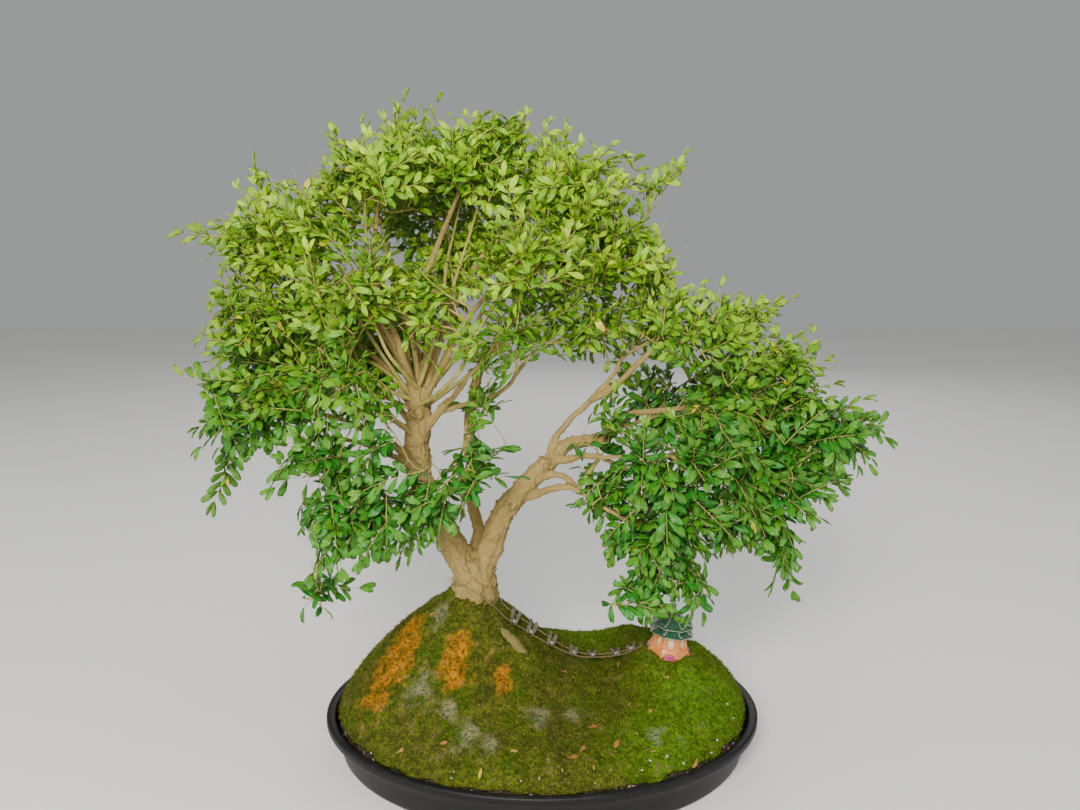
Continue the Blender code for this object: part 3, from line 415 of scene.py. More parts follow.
def smooth_route(route, count):
    """Points along a smooth curve through a route's own points, evenly counted between its ends."""
    points = [Vector(p) for p in route]
    points = [points[0] * 2 - points[1]] + points + [points[-1] * 2 - points[-2]]
    spans = len(points) - 3
    made = []
    for step in range(count):
        place = step * spans / (count - 1)
        span = min(int(place), spans - 1)
        t = place - span
        a, b, c, d = points[span:span + 4]
        made.append(0.5 * (2 * b + (c - a) * t + (2 * a - 5 * b + 4 * c - d) * t * t
                           + (3 * b - a - 3 * c + d) * t * t * t))
    return made


def bump(place, x, y):
    """How much a rounded hill adds to the mound at a point."""
    wide = place["left"] if x < place["x"] else place["right"]
    deep = place["front"] if y < place["y"] else place["back"]
    return place["rise"] * math.exp(-((x - place["x"]) / wide) ** 2 - ((y - place["y"]) / deep) ** 2)


def rim_share(x, y):
    """How far out a point of the mound lies, as a share of the moss's reach."""
    return min(1.0, math.hypot(x, y / ACROSS) / MOSS_REACH)


def from_pavilion(x, y):
    """How far a point lies from the pavilion's axis."""
    return math.hypot(x - PAVILION_PLACE[0], y - PAVILION_PLACE[1])


def ground_height(x, y):
    """Height of the moss over the table at a point of the mound, in millimetres."""
    rise = BASE_RISE + bump(PEAK, x, y) + bump(HILL, x, y) + bump(HUMP, x, y)
    height = EDGE_HEIGHT + rise * math.sqrt(1.0 - rim_share(x, y) ** EDGE_STEEPNESS)
    blend = min(1.0, max(0.0, PAD_REACH - from_pavilion(x, y) / PAVILION_PAD))
    seat = PAVILION_PLACE[2] + PAVILION_SINK - (x - PAVILION_PLACE[0]) * math.tan(PAVILION_LEAN)
    return height + (seat - height) * blend * blend * (3.0 - 2.0 * blend)


def turned_to(ahead, face):
    """The turn that lays +X along ahead and +Z as near to face as it can."""
    ahead = ahead.normalized()
    side = face.cross(ahead)
    if side.length < 1e-4:
        side = Vector((0.0, 1.0, 0.0)).cross(ahead)
    side.normalize()
    return Matrix((ahead, side, ahead.cross(side))).transposed()


def faced_outwards(mesh, doubles=0.0):
    """Turn a closed mesh's faces outwards, after points nearer to each other than doubles are merged."""
    bm = bmesh.new()
    bm.from_mesh(mesh)
    if doubles:
        bmesh.ops.remove_doubles(bm, verts=bm.verts, dist=doubles)
    bmesh.ops.recalc_face_normals(bm, faces=bm.faces)
    bm.to_mesh(mesh)
    bm.free()


# Geometry trees for what repeats and what follows a path

def geometry_tree(name, inputs):
    """A geometry tree with named inputs, and the nodes at its two ends."""
    tree = bpy.data.node_groups.new(name, "GeometryNodeTree")
    tree.interface.new_socket("Geometry", in_out="INPUT", socket_type="NodeSocketGeometry")
    for label, kind in inputs.items():
        tree.interface.new_socket(label, in_out="INPUT", socket_type=f"NodeSocket{kind}")
    tree.interface.new_socket("Geometry", in_out="OUTPUT", socket_type="NodeSocketGeometry")
    return tree, tree.nodes.new("NodeGroupInput"), tree.nodes.new("NodeGroupOutput")


def node(tree, kind, inputs=(), **settings):
    """A new node with its settings made and its inputs set or wired."""
    made = tree.nodes.new(kind)
    for key, value in settings.items():
        setattr(made, key, value)
    for key, value in dict(inputs).items():
        if isinstance(value, bpy.types.NodeSocket):
            tree.links.new(value, made.inputs[key])
        else:
            made.inputs[key].default_value = value
    return made


def end_tree(tree, last, source, result):
    """Realize the instances, set the material and end the tree."""
    real = node(tree, "GeometryNodeRealizeInstances", {"Geometry": last})
    dressed = node(tree, "GeometryNodeSetMaterial", {
        "Geometry": real.outputs[0], "Material": source.outputs["Material"]})
    tree.links.new(dressed.outputs[0], result.inputs[0])
    return tree


def named(tree, name, kind):
    """What each point holds in its own attribute of a name."""
    return node(tree, "GeometryNodeInputNamedAttribute", {"Name": name}, data_type=kind).outputs[0]


def shapes_to_pick(tree, source):
    return node(tree, "GeometryNodeCollectionInfo", {
        "Collection": source.outputs["Shapes"], "Separate Children": True, "Reset Children": True}).outputs[0]


def tapered_tree():
    """Round wood along curves, as thick as each curve's own radius."""
    tree, source, result = geometry_tree("Tapered Wood", {"Sides": "Int", "Material": "Material"})
    ring = node(tree, "GeometryNodeCurvePrimitiveCircle", {
        "Resolution": source.outputs["Sides"], "Radius": 1.0})
    solid = node(tree, "GeometryNodeCurveToMesh", {
        "Curve": source.outputs["Geometry"], "Profile Curve": ring.outputs[0],
        "Scale": named(tree, "radius", "FLOAT"), "Fill Caps": True})
    return end_tree(tree, solid.outputs[0], source, result)


def scattered_tree():
    """One of a collection's shapes on every point, by the point's own kind, turn and size."""
    tree, source, result = geometry_tree(
        "Scattered Shapes", {"Shapes": "Collection", "Size": "Float", "Material": "Material"})
    scale = node(tree, "ShaderNodeMath", {
        0: named(tree, "size", "FLOAT"), 1: source.outputs["Size"]}, operation="MULTIPLY")
    placed = node(tree, "GeometryNodeInstanceOnPoints", {
        "Points": source.outputs["Geometry"], "Instance": shapes_to_pick(tree, source), "Pick Instance": True,
        "Instance Index": named(tree, "kind", "INT"), "Rotation": named(tree, "turn", "QUATERNION"),
        "Scale": scale.outputs[0]})
    return end_tree(tree, placed.outputs[0], source, result)


def tufted_tree():
    """Small shapes that stand on a surface, spread evenly by a seed and leaning at random."""
    tree, source, result = geometry_tree("Tufted Surface", {
        "Shapes": "Collection", "Density": "Float", "Least": "Float", "Most": "Float", "Seed": "Int",
        "Material": "Material"})
    spots = node(tree, "GeometryNodeDistributePointsOnFaces", {
        "Mesh": source.outputs["Geometry"], "Density": source.outputs["Density"],
        "Seed": source.outputs["Seed"]})
    lean = node(tree, "FunctionNodeRandomValue", {
        0: (-0.5, -0.5, 0.0), 1: (0.5, 0.5, 6.28), "Seed": source.outputs["Seed"]}, data_type="FLOAT_VECTOR")
    turn = node(tree, "FunctionNodeRotateRotation", {
        "Rotation": spots.outputs["Rotation"], "Rotate By": lean.outputs[0]}, rotation_space="LOCAL")
    size = node(tree, "FunctionNodeRandomValue", {
        2: source.outputs["Least"], 3: source.outputs["Most"],
        "Seed": source.outputs["Seed"]}, data_type="FLOAT")
    placed = node(tree, "GeometryNodeInstanceOnPoints", {
        "Points": spots.outputs["Points"], "Instance": shapes_to_pick(tree, source), "Pick Instance": True,
        "Rotation": turn.outputs[0], "Scale": size.outputs[1]})
    return end_tree(tree, placed.outputs[0], source, result)


def shared(name, make):
    """A node tree that is built once."""
    return bpy.data.node_groups.get(name) or make()


class Shapes:
    """A hidden collection of small shapes for a geometry tree, removed after use."""

    def __init__(self, name, things):
        self.collection = bpy.data.collections.new(name)
        for thing in things:
            for home in list(thing.users_collection):
                home.objects.unlink(thing)
            self.collection.objects.link(thing)

    def remove(self):
        for thing in list(self.collection.objects):
            bpy.data.objects.remove(thing, do_unlink=True)
        bpy.data.collections.remove(self.collection)


def scattered(name, places, shapes, material):
    """A mesh with a shape at every place: (point in millimetres, turn, size, kind, tint, age)."""
    spots, turns, sizes, kinds, tints, ages = zip(*places)
    mesh = bpy.data.meshes.new(name)
    mesh.from_pydata([tuple(spot * MM) for spot in spots], [], [])
    set_attribute(mesh, "turn", "QUATERNION", [tuple(turn.to_quaternion()) for turn in turns])
    set_attribute(mesh, "kind", "INT", kinds)
    for label, values in (("size", sizes), ("tint", tints), ("age", ages)):
        set_attribute(mesh, label, "FLOAT", values)
    tree = shared("Scattered Shapes", scattered_tree)
    return grown(linked(name, mesh), tree, Shapes=shapes.collection, Size=1.0, Material=material)


def tubes_along(name, routes, sides, material):
    """Round tapering wood or cord along routes of (x, y, z, radius) points."""
    curve = bpy.data.curves.new(name, "CURVE")
    curve.dimensions = "3D"
    for route in routes:
        spline = curve.splines.new("POLY")
        spline.points.add(len(route) - 1)
        for point, (x, y, z, radius) in zip(spline.points, route):
            point.co = (x * MM, y * MM, z * MM, 1.0)
            point.radius = radius * MM
    made = grown(linked(name, curve), shared("Tapered Wood", tapered_tree), Sides=sides, Material=material)
    made.data.shade_smooth()
    return made


# Shader groups that several materials share. Each gives masks, values or normals that change over a surface.

def shader_group(name, inputs, outputs):
    """A shader tree with named inputs, each a vector or a number with its default, and named outputs."""
    tree = bpy.data.node_groups.new(name, "ShaderNodeTree")
    tree.interface.new_socket("Vector", in_out="INPUT", socket_type="NodeSocketVector")
    for label, default in inputs.items():
        socket = tree.interface.new_socket(label, in_out="INPUT", socket_type="NodeSocketFloat")
        socket.default_value = default
    for label in outputs:
        tree.interface.new_socket(label, in_out="OUTPUT", socket_type="NodeSocketFloat")
    return tree, tree.nodes.new("NodeGroupInput").outputs, tree.nodes.new("NodeGroupOutput").inputs


def spread(tree, value, low, high, to_low=0.0, to_high=1.0):
    """A value stretched from one range to another and held inside it."""
    return node(tree, "ShaderNodeMapRange", {0: value, 1: low, 2: high, 3: to_low, 4: to_high}).outputs[0]


def maths(tree, operation, first, second=0.0):
    return node(tree, "ShaderNodeMath", {0: first, 1: second}, operation=operation).outputs[0]


def noise_over(tree, vector, scale, detail, roughness, distortion=0.0):
    return node(tree, "ShaderNodeTexNoise", {
        "Vector": vector, "Scale": scale, "Detail": detail, "Roughness": roughness,
        "Distortion": distortion}).outputs[0]


def mottle_group():
    """Soft patches between two limits of a noise, and the noise itself."""
    tree, given, result = shader_group("Mottle", {"Scale": 50.0, "Low": 0.4, "High": 0.6}, ("Mask", "Noise"))
    cloud = noise_over(tree, given["Vector"], given["Scale"], 4.0, 0.6)
    tree.links.new(spread(tree, cloud, given["Low"], given["High"]), result["Mask"])
    tree.links.new(cloud, result["Noise"])
    return tree


def grain_group():
    """Fibres and fissures drawn out along the third axis of a vector."""
    tree, given, result = shader_group(
        "Drawn Out Grain", {"Across": 300.0, "Along": 40.0, "Twist": 0.5}, ("Fissure", "Fibre"))
    scale = node(tree, "ShaderNodeCombineXYZ", {0: given["Across"], 1: given["Across"], 2: given["Along"]})
    place = node(tree, "ShaderNodeVectorMath", {
        0: given["Vector"], 1: scale.outputs[0]}, operation="MULTIPLY").outputs[0]
    coarse = noise_over(tree, place, 1.0, 5.0, 0.62, given["Twist"])
    finer = noise_over(tree, place, 3.2, 3.0, 0.6, given["Twist"])
    ridge = maths(tree, "ABSOLUTE", maths(tree, "SUBTRACT", coarse, 0.5))
    tree.links.new(spread(tree, ridge, 0.0, 0.16, 1.0, 0.0), result["Fissure"])
    tree.links.new(finer, result["Fibre"])
    return tree


def dust_group():
    """Dust and splashes that settle on faces that look up, and lightly elsewhere."""
    tree, given, result = shader_group("Settled Dust", {"Scale": 60.0, "Amount": 0.4}, ("Mask",))
    facing = node(tree, "ShaderNodeNewGeometry")
    up = node(tree, "ShaderNodeSeparateXYZ", {0: facing.outputs["Normal"]})
    cloud = noise_over(tree, given["Vector"], given["Scale"], 6.0, 0.7)
    flat = spread(tree, up.outputs[2], 0.1, 1.0, 0.25, 1.0)
    patchy = spread(tree, cloud, 0.42, 0.72)
    settled = maths(tree, "MULTIPLY", maths(tree, "MULTIPLY", flat, patchy), given["Amount"])
    tree.links.new(settled, result["Mask"])
    return tree


# Materials

# The part of a noise that most of a surface lies in, which roughness and relief are spread from
NOISE_LIMITS = (0.3, 0.7)


def rgba(colour):
    """A plain colour with its alpha, or a socket as it is."""
    return colour if isinstance(colour, bpy.types.NodeSocket) else (*colour, 1.0)


class Finish:
    """A material in the making: a base colour that others are painted over, then its gloss and relief."""

    def __init__(self, name, base, **constants):
        self.material = bpy.data.materials.new(name)
        self.material.use_nodes = True
        self.tree = self.material.node_tree
        self.shader = self.tree.nodes["Principled BSDF"]
        for key, value in constants.items():
            self.shader.inputs[key.replace("_", " ")].default_value = value
        self.place = node(self.tree, "ShaderNodeTexCoord").outputs["Object"]
        self.colour = base

    def times(self, first, second):
        return maths(self.tree, "MULTIPLY", first, second)

    def plus(self, first, second):
        return maths(self.tree, "ADD", first, second)

    def minus(self, first, second):
        return maths(self.tree, "SUBTRACT", first, second)

    def spread(self, value, *limits):
        return spread(self.tree, value, *limits)

    def over_noise(self, value, low, high):
        """A noise spread from its usual limits to others."""
        return spread(self.tree, value, *NOISE_LIMITS, low, high)

    def attribute(self, name, output="Fac"):
        return node(self.tree, "ShaderNodeAttribute", attribute_name=name).outputs[output]

    def height(self):
        """Height over the table in metres."""
        return node(self.tree, "ShaderNodeSeparateXYZ", {0: self.place}).outputs[2]

    def group(self, name, make, **values):
        """A shared shader group with this material's own values."""
        return node(self.tree, "ShaderNodeGroup", values, node_tree=shared(name, make)).outputs

    def mottle(self, scale, low, high):
        return self.group("Mottle", mottle_group, Vector=self.place, Scale=scale, Low=low, High=high)

    def grain(self, across, along, twist):
        return self.group("Drawn Out Grain", grain_group, Vector=self.attribute("grain", "Vector"),
                          Across=across, Along=along, Twist=twist)

    def dust(self, scale, amount):
        return self.group("Settled Dust", dust_group, Vector=self.place, Scale=scale, Amount=amount)

    def crumbs(self, scale):
        """Small cells: how far each place lies from its cell's middle, and the cell's three random shares."""
        cells = node(self.tree, "ShaderNodeTexVoronoi", {"Vector": self.place, "Scale": scale}).outputs
        return cells["Distance"], node(self.tree, "ShaderNodeSeparateColor", {0: cells["Color"]}).outputs

    def mix(self, share, first, second):
        blend = {0: share, 6: rgba(first), 7: rgba(second)}
        return node(self.tree, "ShaderNodeMix", blend, data_type="RGBA").outputs[2]

    def paint(self, colour, mask, amount=None):
        """Another colour over what is there, by a mask and by how much of it shows at most."""
        share = mask if amount is None else self.times(mask, amount)
        self.colour = self.mix(share, self.colour, colour)

    def done(self, rough, relief=None, distance=0.0, strength=1.0):
        """Wire colour, roughness and a relief that is so many metres deep, and give the material."""
        self.tree.links.new(self.colour, self.shader.inputs["Base Color"])
        self.tree.links.new(rough, self.shader.inputs["Roughness"])
        if relief is not None:
            raised = node(self.tree, "ShaderNodeBump", {
                "Height": relief, "Distance": distance, "Strength": strength})
            self.tree.links.new(raised.outputs[0], self.shader.inputs["Normal"])
        return self.material


def finish_of(name, make, *values):
    """A material that is built once."""
    return bpy.data.materials.get(name) or make(name, *values)


def leaf_finish(name):
    """Glossy leaf with a pale midrib and underside, coloured by its height on the tree and its age."""
    tree_set = bpy.context.scene.bonsai_tree
    leaf = Finish(name, tree_set.low_leaf, Specular_IOR_Level=0.4)
    high = leaf.spread(leaf.height(), 0.32, 0.47)
    leaf.paint(tree_set.crown_leaf, high)
    youth = leaf.spread(leaf.attribute("age"), 0.25, 1.0)
    leaf.paint(tree_set.young_leaf, youth, leaf.spread(high, 0.0, 1.0, 0.14, 1.0))
    tint = leaf.attribute("tint")
    leaf.paint((0.012, 0.07, 0.006), leaf.spread(tint, 0.0, 0.5, 0.45, 0.0))
    pale = leaf.spread(tint, 0.72, 0.97, 0.0, 0.5)
    leaf.paint((0.30, 0.46, 0.006), pale, leaf.spread(high, 0.0, 1.0, 0.3, 1.0))
    leaf.paint((0.74, 0.58, 0.04), leaf.spread(tint, 0.993, 0.996))
    blade = node(leaf.tree, "ShaderNodeUVMap", uv_map="UVMap").outputs[0]
    across, along, _ = node(leaf.tree, "ShaderNodeSeparateXYZ", {0: blade}).outputs
    beside = maths(leaf.tree, "ABSOLUTE", leaf.minus(across, 0.5))
    rib = leaf.spread(beside, 0.015, 0.07, 1.0, 0.0)
    under = maths(leaf.tree, "GREATER_THAN", along, 1.0)
    slant = leaf.plus(along, leaf.times(beside, -0.9))
    veins = maths(leaf.tree, "SINE", leaf.times(slant, 70.0))
    leaf.paint((0.28, 0.44, 0.02), rib, 0.4)
    leaf.paint((0.13, 0.27, 0.035), under, 0.5)
    blotch = leaf.mottle(240.0, 0.35, 0.7)
    leaf.paint((0.025, 0.09, 0.006), blotch["Mask"], 0.28)
    rough = leaf.plus(leaf.over_noise(blotch["Noise"], 0.22, 0.36), leaf.times(under, 0.3))
    relief = leaf.plus(leaf.times(rib, -1.0), leaf.times(veins, 0.16))
    return leaf.done(rough, relief, 0.0003, 0.7)


def bark_finish(name):
    """Pale fissured bark whose crevices are painted darker, partly as darker inner bark and partly as painted
    shade, with old scars and a green bloom near the ground.
    """
    tree_set = bpy.context.scene.bonsai_tree
    bark = Finish(name, tree_set.pale_bark, Specular_IOR_Level=0.25)
    coarse = bark.grain(190.0, 34.0, 0.7)
    fine = bark.grain(620.0, 120.0, 0.4)
    patches = bark.mottle(38.0, 0.42, 0.66)
    fissure = maths(bark.tree, "MAXIMUM", bark.times(coarse["Fissure"], 0.85),
                    bark.times(fine["Fissure"], 0.75))
    # Painted shade: the fissures darken, partly as darker inner bark and partly as shade in the crevices
    bark.paint(tree_set.fissure_bark_and_shade, fissure)
    bark.paint((0.78, 0.60, 0.23), bark.spread(fine["Fibre"], 0.5, 0.72, 0.0, 0.6))
    bark.paint((0.42, 0.30, 0.10), patches["Mask"], 0.4)
    bark.paint((0.10, 0.115, 0.03), bark.spread(bark.height(), 0.125, 0.172, 1.3, 0.0), patches["Noise"])
    bark.paint((0.17, 0.11, 0.055), bark.attribute("scar"))
    relief = bark.minus(bark.times(fine["Fibre"], 0.5), fissure)
    return bark.done(bark.over_noise(coarse["Fibre"], 0.72, 0.95), relief, 0.0011, 0.9)


def twig_finish(name):
    """Smooth pale twigs, browner and greener in patches."""
    twig = Finish(name, (0.48, 0.42, 0.12), Specular_IOR_Level=0.3)
    patches = twig.mottle(110.0, 0.35, 0.65)
    fine = twig.mottle(900.0, 0.4, 0.65)
    twig.paint((0.27, 0.29, 0.05), patches["Mask"])
    twig.paint((0.26, 0.17, 0.06), fine["Mask"], 0.5)
    return twig.done(twig.over_noise(patches["Noise"], 0.6, 0.85), fine["Noise"], 0.0003, 0.6)


def moss_finish(name):
    """Moss in cushions: olive, green and bright patches, brown where it died back, with grey lichen."""
    ground = bpy.context.scene.bonsai_ground
    moss = Finish(name, ground.green_moss, Specular_IOR_Level=0.08)
    wide = moss.mottle(26.0, 0.40, 0.60)
    middle = moss.mottle(85.0, 0.42, 0.60)
    small = moss.mottle(300.0, 0.42, 0.60)
    away, pick = moss.crumbs(750.0)
    moss.paint(ground.olive_moss, wide["Mask"], 0.65)
    moss.paint((0.16, 0.165, 0.014), middle["Mask"], 0.7)
    moss.paint(ground.fresh_moss, moss.attribute("fresh"), moss.spread(middle["Noise"], 0.3, 0.6, 0.45, 1.0))
    edge = moss.plus(moss.attribute("dead"), moss.over_noise(middle["Noise"], -0.6, 0.42))
    edge = moss.plus(edge, moss.over_noise(small["Noise"], -0.2, 0.2))
    brown = moss.mix(moss.times(small["Mask"], 0.6), ground.dead_moss, (0.26, 0.10, 0.008))
    moss.paint(brown, moss.spread(edge, 0.30, 0.75))
    grown_grey = moss.plus(moss.attribute("lichen"), moss.over_noise(middle["Noise"], -0.7, 0.5))
    grown_grey = moss.plus(grown_grey, moss.over_noise(small["Noise"], -0.6, 0.4))
    moss.paint((0.36, 0.36, 0.22), moss.spread(grown_grey, 0.1, 0.9, 0.0, 0.7))
    moss.paint((0.36, 0.27, 0.035), moss.spread(pick[0], 0.80, 0.95, 0.0, 0.4))
    moss.paint((0.035, 0.026, 0.010), moss.spread(pick[1], 0.75, 0.95, 0.0, 0.65))
    moss.paint((0.020, 0.026, 0.003), small["Mask"], 0.55)
    moss.paint((0.24, 0.32, 0.02), moss.spread(moss.attribute("tint"), 0.5, 1.0, 0.0, 0.3))
    relief = moss.plus(moss.times(small["Noise"], 1.2), moss.times(away, -0.5))
    return moss.done(moss.over_noise(small["Noise"], 0.8, 1.0), relief, 0.0028)


def soil_finish(name):
    """Damp crumbly soil with pale grains of grit."""
    soil = Finish(name, bpy.context.scene.bonsai_ground.soil_colour, Specular_IOR_Level=0.3)
    away, pick = soil.crumbs(420.0)
    patches = soil.mottle(160.0, 0.4, 0.65)
    soil.paint((0.075, 0.048, 0.026), patches["Mask"])
    soil.paint((0.34, 0.30, 0.24), soil.spread(pick[0], 0.88, 0.94))
    rough = soil.over_noise(patches["Noise"], 0.65, 0.98)
    return soil.done(rough, soil.minus(patches["Noise"], away), 0.003)


def plastic_finish(name):
    """Matte black moulded plastic, with dust and dried splashes."""
    pot = Finish(name, bpy.context.scene.bonsai_pot.plastic, Specular_IOR_Level=0.25)
    dust = pot.dust(55.0, 0.12)
    specks = pot.mottle(700.0, 0.66, 0.72)
    skinned = pot.mottle(1500.0, 0.3, 0.7)
    pot.paint((0.11, 0.10, 0.085), dust["Mask"])
    pot.paint((0.24, 0.21, 0.17), specks["Mask"], 0.22)
    rough = pot.plus(pot.over_noise(skinned["Noise"], 0.40, 0.50), pot.times(dust["Mask"], 0.6))
    return pot.done(rough, skinned["Noise"], 0.0003, 0.35)


def slat_finish(name):
    """Weathered grey-green wood with drawn-out grain."""
    slat = Finish(name, bpy.context.scene.bonsai_bridge.slat_colour, Specular_IOR_Level=0.2)
    grain = slat.grain(2600.0, 260.0, 0.3)
    patches = slat.mottle(130.0, 0.4, 0.62)
    slat.paint((0.085, 0.08, 0.055), grain["Fissure"])
    slat.paint((0.37, 0.33, 0.24), patches["Mask"], 0.55)
    rough = slat.over_noise(grain["Fibre"], 0.7, 0.95)
    return slat.done(rough, slat.minus(grain["Fibre"], grain["Fissure"]), 0.0005, 0.8)


def cord_finish(name, colour, shade_and_dirt):
    """Twisted cord: pale diagonal strands over a dark base that is painted shade in the grooves between them,
    and a little dirt in the same dark colour.
    """
    cord = Finish(name, shade_and_dirt, Specular_IOR_Level=0.2, Sheen_Weight=0.2)
    strands = node(cord.tree, "ShaderNodeTexWave", {
        "Vector": cord.place, "Scale": 420.0, "Distortion": 2.5, "Detail": 2.0}, bands_direction="DIAGONAL")
    dirt = cord.mottle(260.0, 0.4, 0.62)
    # The dark base that shows between the strands is painted shade in the grooves
    cord.paint(colour, strands.outputs["Fac"], 0.6)
    cord.paint(shade_and_dirt, dirt["Mask"], 0.45)
    return cord.done(cord.over_noise(dirt["Noise"], 0.75, 0.97), strands.outputs["Fac"], 0.0002, 0.8)


def glaze_finish(name, colour, worn, scale=160.0):
    """Glazed ware: a pooled glaze, thin and paler where it broke, under a glossy coat."""
    glaze = Finish(name, colour, Coat_Roughness=0.12, Specular_IOR_Level=0.5)
    pooled = glaze.mottle(scale, 0.38, 0.66)
    pits = glaze.mottle(1100.0, 0.62, 0.7)
    dust = glaze.dust(300.0, 0.3)
    glaze.paint(worn, pooled["Mask"], 0.5)
    glaze.paint((0.10, 0.06, 0.03), pits["Mask"], 0.4)
    glaze.paint((0.32, 0.27, 0.19), dust["Mask"])
    glaze.tree.links.new(glaze.spread(dust["Mask"], 0.0, 0.3, 0.5, 0.05), glaze.shader.inputs["Coat Weight"])
    return glaze.done(glaze.over_noise(pooled["Noise"], 0.22, 0.42), pooled["Noise"], 0.0004, 0.5)


def fallen_finish(name):
    """Dry leaves from yellow through tan to reddish brown, by each leaf's own tint."""
    leaf = Finish(name, (0.60, 0.46, 0.04), Specular_IOR_Level=0.3)
    tint = leaf.attribute("tint")
    blotch = leaf.mottle(300.0, 0.4, 0.65)
    leaf.paint((0.44, 0.24, 0.055), leaf.spread(tint, 0.0, 0.35))
    leaf.paint((0.27, 0.10, 0.022), leaf.spread(tint, 0.4, 0.8))
    leaf.paint((0.20, 0.12, 0.06), leaf.spread(tint, 0.85, 1.0))
    leaf.paint((0.16, 0.085, 0.03), blotch["Mask"], 0.55)
    return leaf.done(leaf.over_noise(blotch["Noise"], 0.5, 0.8), blotch["Noise"], 0.0004, 0.6)


def pebble_finish(name):
    """White grit with grey veins and a trace of soil."""
    grit = Finish(name, (0.74, 0.72, 0.66), Specular_IOR_Level=0.4)
    veins = grit.mottle(350.0, 0.4, 0.66)
    grit.paint((0.50, 0.48, 0.43), veins["Mask"])
    grit.paint((0.30, 0.25, 0.17), grit.dust(500.0, 0.5)["Mask"])
    return grit.done(grit.over_noise(veins["Noise"], 0.45, 0.75), veins["Noise"], 0.0004, 0.5)


def floor_finish(name):
    """Plain pale matte floor with the faintest tone."""
    pale = bpy.context.scene.bonsai_stage.floor_colour
    floor = Finish(name, pale, Specular_IOR_Level=0.2)
    tone = floor.mottle(3.0, 0.3, 0.7)
    floor.paint(tuple(value * 0.97 for value in pale), tone["Mask"])
    return floor.done(floor.over_noise(tone["Noise"], 0.85, 0.95))


# Pot

# How near two points of the turned shell are merged, and the angle over which its edges stay sharp
MERGE_REACH = 0.01
POT_EDGES = 50.0


def make_pot():
    """The oval tray, turned from a fine profile and squeezed to its width."""
    pot_set = bpy.context.scene.bonsai_pot
    rim = POT_LENGTH / 2
    lip = pot_set.lip / MM
    wall = pot_set.wall / MM
    inside = rim - lip
    foot = inside - 7.0
    top = POT_HEIGHT
    # The wall's section as (radius, height), from the floor's middle over the lip and back under the foot
    profile = [
        (0.0, 4.5), (foot - 2 * wall, 4.5), (foot - wall - 1.5, 5.6), (foot - wall, 9.5),
        (inside - 2.0, top - 4.0), (inside - 0.6, top - 1.0), (inside + 0.6, top - 0.1), (rim - 2.4, top),
        (rim - 0.8, top - 0.5),
        (rim, top - 1.8), (rim, top - lip + 1.6), (rim - 0.5, top - lip + 0.5), (rim - 1.6, top - lip),
        (inside + 2.4, top - lip), (inside + 1.3, top - lip - 0.8), (inside - 0.6, top * 0.55),
        (foot + 1.6, 8.0), (foot + 0.6, 3.6), (foot - 1.2, 1.0), (foot - 4.0, 0.0), (foot - 12.0, 0.0),
        (foot - 13.0, 0.8), (0.0, 0.8),
    ]
    bm = bmesh.new()
    verts = [bm.verts.new((radius * MM, 0.0, height * MM)) for radius, height in profile]
    for first, second in zip(verts, verts[1:]):
        bm.edges.new((first, second))
    mesh = bpy.data.meshes.new("pot_shell")
    bm.to_mesh(mesh)
    bm.free()
    shell = linked("pot_shell", mesh)
    turn = shell.modifiers.new("turn", "SCREW")
    turn.steps = pot_set.steps
    turn.render_steps = pot_set.steps
    turn.use_merge_vertices = True
    turn.merge_threshold = MERGE_REACH * MM
    shell = applied(shell)
    shell.data.transform(Matrix.Diagonal((1.0, ACROSS, 1.0, 1.0)))
    faced_outwards(shell.data, MERGE_REACH * MM)
    smoothed(shell, POT_EDGES)
    return piece(shell, "pot_plastic", finish_of("moulded black plastic", plastic_finish), "pot")


# Mound

# Where the moss rises higher than the mound, round the trunk's foot and over the shown root's end:
# (x, y, rise, reach)
MOSS_COLLARS = [(-70.0, -16.0, 13.0, 26.0), (-6.0, -34.0, 6.0, 13.0)]
# How high and how wide the lumps of the moss and the crumbs of the soil are
MOSS_LUMPS = ((3.2, 27.0), (1.9, 10.0), (0.9, 3.6), (0.45, 1.7))
SOIL_CRUMBS = ((0.9, 4.0), (0.5, 1.6))
# The moss is calmer than elsewhere this near the pavilion, and this thick
CALM_REACH = 40.0
MOSS_THICKNESS = 3.5
# The soil: its floor over the table, how far its top lies under the moss's and how much it rises at the rim
SOIL_FLOOR = 12.0
SOIL_DEPTH = 7.5
SOIL_RIM = 3.0
RIM_STEEPNESS = 14
# The tufts: how wide their feet are, how far they sink in, how far their tips lean, and their sizes
TUFT_FOOT = 0.62
TUFT_SINK = 0.5
TUFT_LEAN = 0.3
TUFT_SIZES = (0.75, 1.0, 1.25)


def patch_share(patches, x, y):
    """How far a point lies inside the nearest of several soft round patches."""
    return max(math.exp(-((x - px) ** 2 + (y - py) ** 2) / reach ** 2) for px, py, reach in patches)


def lumps_at(place, sizes):
    return sum(high * noise.noise(place / wide) for high, wide in sizes)


def moss_top(x, y):
    """The lumpy top of the moss in millimetres."""
    lumps = (lumps_at(Vector((x, y, 7.0)), MOSS_LUMPS) + 0.4) * (1.0 - rim_share(x, y) ** RIM_STEEPNESS)
    calm = 1.0 - 0.75 * max(0.0, 1.0 - from_pavilion(x, y) / CALM_REACH)
    collar = sum(rise * math.exp(-(math.hypot(x - px, y - py) / reach) ** 4)
                 for px, py, rise, reach in MOSS_COLLARS)
    return ground_height(x, y) + lumps * calm + collar


